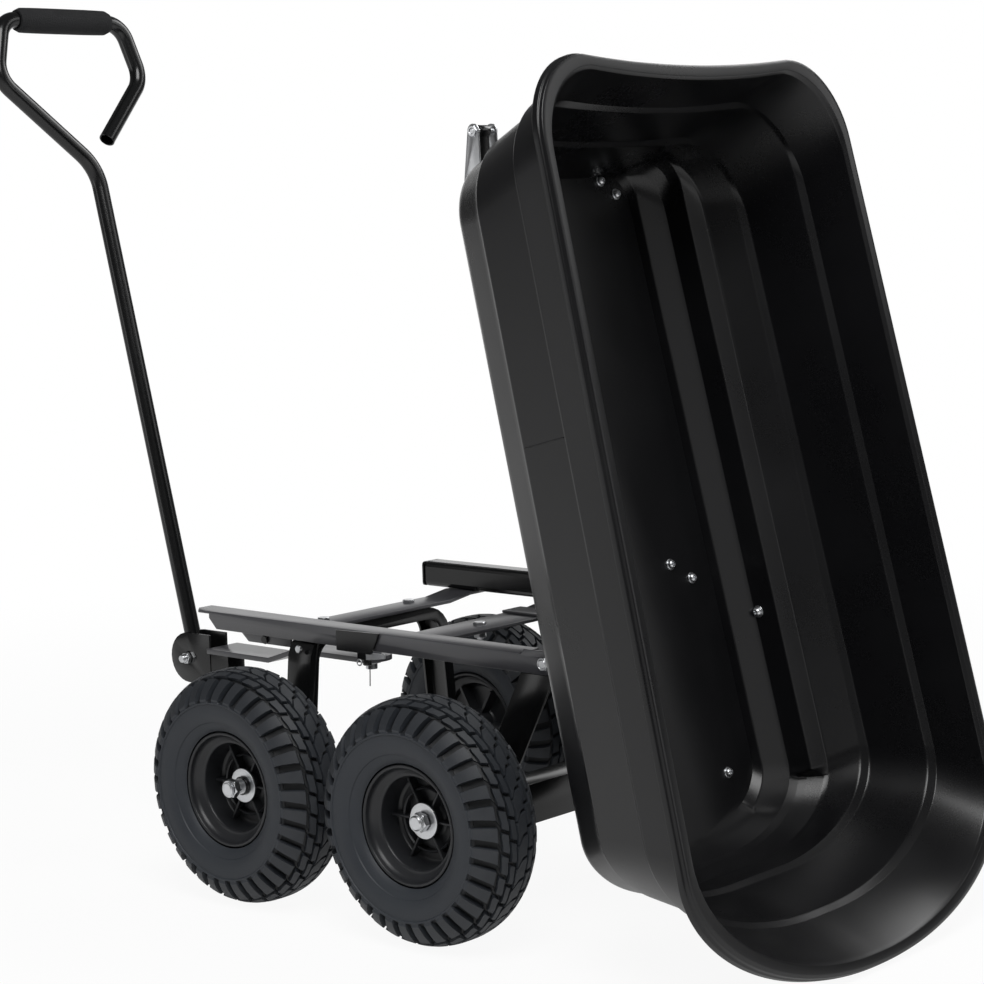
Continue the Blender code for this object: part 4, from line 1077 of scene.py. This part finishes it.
def flat_plate(outline, low, high):
    """A plate that lies across Y, from an outline of (x, z) points, with soft corners and edges."""
    spots = [np.array(spot, float) for spot in outline]
    start = (spots[0] + spots[-1]) / 2
    ring = np.array(eased([start] + spots + [start], PLATE_CORNER)[:-1])
    inward = ring.mean(0) - ring
    small = ring + inward / np.linalg.norm(inward, axis=1)[:, None] * PLATE_EDGE
    block = []
    steps = ((small, low), (ring, low + PLATE_EDGE), (ring, high - PLATE_EDGE), (small, high))
    for line, y in steps:
        block.append(np.column_stack([line[:, 0], np.full(len(line), y), line[:, 1]]))
    return shell(np.array(block))


def wire_along(spots, radius):
    """A round wire in the plane of the rail's face, along (x, z) points."""
    return shell(tube([Vector((x, RAIL_FACE, z)) for x, z in spots], radius, Vector((0, 1, 0)), 10))


RAIL_FACE = 0.110
STOP_WALL = 0.0036
STOP = [(0.033, 0.2722), (0.033, 0.2950), (-0.0325, 0.2965), (-0.0300, 0.2900), (-0.0195, 0.2722)]
BRACKET = [(0.0050, 0.2640), (0.0050, 0.2725), (-0.0105, 0.2725), (-0.0105, 0.2640)]
STOP_LIP = [(-0.0095, 0.2650), (-0.0095, 0.2728), (-0.0385, 0.2740), (-0.0385, 0.2690)]
WIRE = [(-0.0150, 0.2640), (-0.0148, 0.2500), (-0.0142, 0.2365)]
HOOP_RADIUS = 0.0034
plates = [flat_plate(STOP, RAIL_FACE, RAIL_FACE + STOP_WALL), flat_plate(BRACKET, 0.1070, 0.1095)]
plates.append(placed(hex_block(0.0085, 0.0055), aim((-0.0095, 0.1085, 0.2645), (0, 0, -1))))
add_fitting("rail_stop_plate", plates, "black_paint", "chassis", sharp=40)
hoop = []
for angle in np.linspace(0.4, 6.6, 25):
    hoop.append((0.0010 + HOOP_RADIUS * math.cos(angle), 0.2612 + HOOP_RADIUS * math.sin(angle)))
lips = [flat_plate(STOP_LIP, 0.1084, 0.1106), wire_along(hoop, 0.0008)]
add_fitting("rail_stop_lip", lips, "zinc_plate", "chassis", sharp=40)
add_fitting("clip_wire", [wire_along(WIRE, 0.0006)], "black_paint", "chassis", sharp=40)
print("stop plate, lip, clip and wire")

# %% Bolts in the bin's floor and in the steps beside it
FLOOR_INSIDE = BIN_FLOOR + 0.004
FLOOR_BOLTS = [(0.494, 0.094), (0.479, 0.117), (0.073, 0.072), (0.054, 0.103), (-0.158, 0.093)]
STEP_BOLT = (0.0027, 0.1734, BIN_FLOOR + 0.0303)
BOLT_BORE = 0.002


def bin_bolt(s, y, h, axis, washer_radius, thickness, head_radius, height):
    """A washer and a button head at a place in the bed's frame, facing along an axis of the world."""
    at = aim(Vector(bed_point(np.array([[s, y, h]]))[0]), axis)
    head = placed(button(head_radius, height), at @ Matrix.Translation((0, 0, thickness)))
    return [placed(washer(washer_radius, BOLT_BORE, thickness), at), head]


bed_up = (-math.sin(BIN_TILT), 0, math.cos(BIN_TILT))
shapes = []
for s, y in FLOOR_BOLTS:
    for side in (-1, 1):
        out = side * y * (1 - TAPER * (s - TAPER_FROM))
        shapes += bin_bolt(s, out, FLOOR_INSIDE, bed_up, 0.0062, 0.0010, 0.0050, 0.0042)
for side in (-1, 1):
    s, y, h = STEP_BOLT
    shapes += bin_bolt(s, side * y, h, (0, -side, 0), 0.0066, 0.0014, 0.0052, 0.0046)
add_fitting("bin_floor_bolts", shapes, "zinc_plate", "bed")
print("bin bolts:", 2 * len(FLOOR_BOLTS) + 2)

# %% A mould line across each outer wall, and the cap in the support beam's end
MOULD_PLACE = 0.2115
MOULD_POINTS = 9
# The wall between the upper ledge and the lip: its foot's height and reach, its rise and its spread
WALL_FOOT, WALL_REACH, WALL_RISE, WALL_SPREAD = 0.0945, 0.228, 0.0653, 0.012
heights = np.linspace(0.098, 0.157, MOULD_POINTS)
reach = WALL_REACH + (heights - WALL_FOOT) / WALL_RISE * WALL_SPREAD
reach = reach * (1 - TAPER * (MOULD_PLACE - TAPER_FROM))
lines = []
for side in (-1, 1):
    places = np.full(MOULD_POINTS, MOULD_PLACE)
    path = bed_point(np.column_stack([places, side * reach, BIN_FLOOR + heights]))
    across = Vector((math.cos(BIN_TILT), 0, math.sin(BIN_TILT)))
    lines.append(shell(tube([Vector(spot) for spot in path], 0.0006, across, 12)))
add_fitting("bin_mould_lines", lines, "bin_plastic", "bed", sharp=60)
CAP_WIDER = 0.0006
CAP_LOWER = 0.0004
CAP_CORNER = 0.0045
low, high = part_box("support_beam")
middle = (Vector(low) + Vector(high)) / 2
rows = []
for x, inset in ((-0.0030, 0.0), (-0.0008, 0.0), (0.0, 0.0010)):
    half_y = (high[1] - low[1]) / 2 + CAP_WIDER - inset
    half_z = (high[2] - low[2]) / 2 - CAP_LOWER - inset
    corners = [(0, -half_z), (half_y, -half_z), (half_y, half_z)]
    corners += [(-half_y, half_z), (-half_y, -half_z), (0, -half_z)]
    section = eased(corners, CAP_CORNER)[:-1]
    rows.append([(high[0] + x, middle.y + y, middle.z + z) for y, z in section])
add_fitting("beam_end_cap", [shell(np.array(rows))], "black_paint", "chassis", sharp=50)
print("mould lines and end cap")

# %% [markdown]
# ## The camera, the floor and the light
# The picture was taken from the cart's rear left, a little lower than the top of the tipped bin, and from
# nearly three metres. The camera's place comes from the wheels and the frame, which fix where the eye was.
# The floor is one wide pale sheet, white for the camera and half as bright in reflections, so that polished
# parts show a pale room. Big soft lamps give a black cart its shape, because on black only the reflections
# can be seen.

# %% Camera
IMAGE_SIZE = 984
SENSOR = 36.0
FOCAL_PIXELS = 2519.23
REAR_AXLE_X = -0.18084
CAMERA_PLACE = Vector((-1.7478 + REAR_AXLE_X, 2.0405, 0.7752))
CAMERA_YAW = math.radians(48.185)
CAMERA_PITCH = math.radians(6.901)
CAMERA_ROLL = math.radians(-1.682)


def make_camera():
    level = math.cos(CAMERA_PITCH)
    x, y = level * math.cos(CAMERA_YAW), -level * math.sin(CAMERA_YAW)
    ahead = Vector((x, y, -math.sin(CAMERA_PITCH)))
    right = ahead.cross(Vector((0, 0, 1))).normalized()
    up = right.cross(ahead)
    turned_right = right * math.cos(CAMERA_ROLL) + up * math.sin(CAMERA_ROLL)
    turned_up = up * math.cos(CAMERA_ROLL) - right * math.sin(CAMERA_ROLL)
    lens = bpy.data.cameras.new("camera")
    lens.sensor_width = SENSOR
    lens.lens = FOCAL_PIXELS * SENSOR / IMAGE_SIZE
    lens.clip_end = 60.0
    camera = bpy.data.objects.new("camera", lens)
    camera.matrix_world = Matrix((turned_right, turned_up, -ahead)).transposed().to_4x4()
    camera.matrix_world.translation = CAMERA_PLACE
    show(camera)
    bpy.context.scene.camera = camera


make_camera()
print("camera at", [round(c, 2) for c in CAMERA_PLACE])

# %% Floor
FLOOR_REACH = 14.0
PALE = (0.93, 0.93, 0.93)
WHITE_NEAR = 0.93
WHITE_FROM, WHITE_AT = 0.9, 2.2
ROOM_SHARE = 0.5


def make_backdrop_finish():
    """A pale sheet that takes soft shadows near the cart, and far out is as white as the room behind."""
    pale = Finish("pale backdrop")
    pale.set(Base_Color=PALE, Roughness=0.9, Specular_IOR_Level=0.1)
    distance = pale.node("ShaderNodeVectorMath", {"operation": "LENGTH"}, {0: pale.place()}, output=1)
    path = pale.node("ShaderNodeLightPath", output=0)
    glossy = pale.node("ShaderNodeLightPath", output=3)
    glow = pale.node("ShaderNodeEmission", None, {"Color": (1.0, 1.0, 1.0), "Strength": 1.0})
    seen = path.math("MAXIMUM", glossy * ROOM_SHARE)
    white = WHITE_NEAR + distance.between(WHITE_FROM, WHITE_AT) * (1 - WHITE_NEAR)
    both = pale.node("ShaderNodeMixShader", None, {"Fac": seen * white})
    feed(pale.tree, both.socket.node.inputs[1], pale.shader.outputs[0])
    feed(pale.tree, both.socket.node.inputs[2], glow)
    feed(pale.tree, pale.tree.nodes["Material Output"].inputs["Surface"], both)
    return pale.material


def make_floor():
    points = [(-FLOOR_REACH, -FLOOR_REACH, 0), (FLOOR_REACH, -FLOOR_REACH, 0)]
    points += [(FLOOR_REACH, FLOOR_REACH, 0), (-FLOOR_REACH, FLOOR_REACH, 0)]
    mesh = mesh_from("floor", [(np.array(points, float), [[0, 1, 2, 3]])])
    mesh.materials.append(make_backdrop_finish())
    floor = bpy.data.objects.new("floor", mesh)
    show(floor)


make_floor()
print("floor", FLOOR_REACH * 2, "m across")


# %% World and lamps
def make_world(strength):
    world = bpy.data.worlds.new("studio")
    world.use_nodes = True
    tree = world.node_tree
    background = tree.nodes["Background"]
    path = Value(tree, tree.nodes.new("ShaderNodeLightPath").outputs[0])
    background.inputs["Color"].default_value = (1.0, 1.0, 1.0, 1.0)
    feed(tree, background.inputs["Strength"], strength + path * (1.0 - strength))
    bpy.context.scene.world = world


def add_lamp(name, place, target, width, height, power):
    light = bpy.data.lights.new(name, "AREA")
    light.shape = "RECTANGLE"
    light.size = width
    light.size_y = height
    light.energy = power
    lamp = bpy.data.objects.new(name, light)
    lamp.location = place
    lamp.rotation_euler = (Vector(target) - Vector(place)).to_track_quat("-Z", "Y").to_euler()
    show(lamp)


make_world(0.10)
add_lamp("key from above", (-1.2, 1.2, 2.6), (-0.1, 0.0, 0.4), 1.6, 1.6, 62.0)
add_lamp("side strip", (1.6, 2.2, 0.7), (0.0, 0.0, 0.3), 0.7, 1.1, 3.0)
add_lamp("rear strip", (-2.6, -0.6, 1.0), (-0.3, 0.0, 0.4), 0.6, 1.8, 4.5)
add_lamp("rear far sheet", (-2.1, -2.0, 1.9), (-0.3, 0.0, 0.5), 1.5, 1.2, 8.0)
add_lamp("far low sheet", (1.7, -1.5, 0.8), (0.0, 0.0, 0.3), 1.6, 1.0, 5.0)
add_lamp("far high sheet", (-0.3, -1.8, 2.0), (-0.4, 0.0, 0.3), 1.2, 0.8, 14.0)
bpy.context.scene.view_settings.view_transform = "Standard"
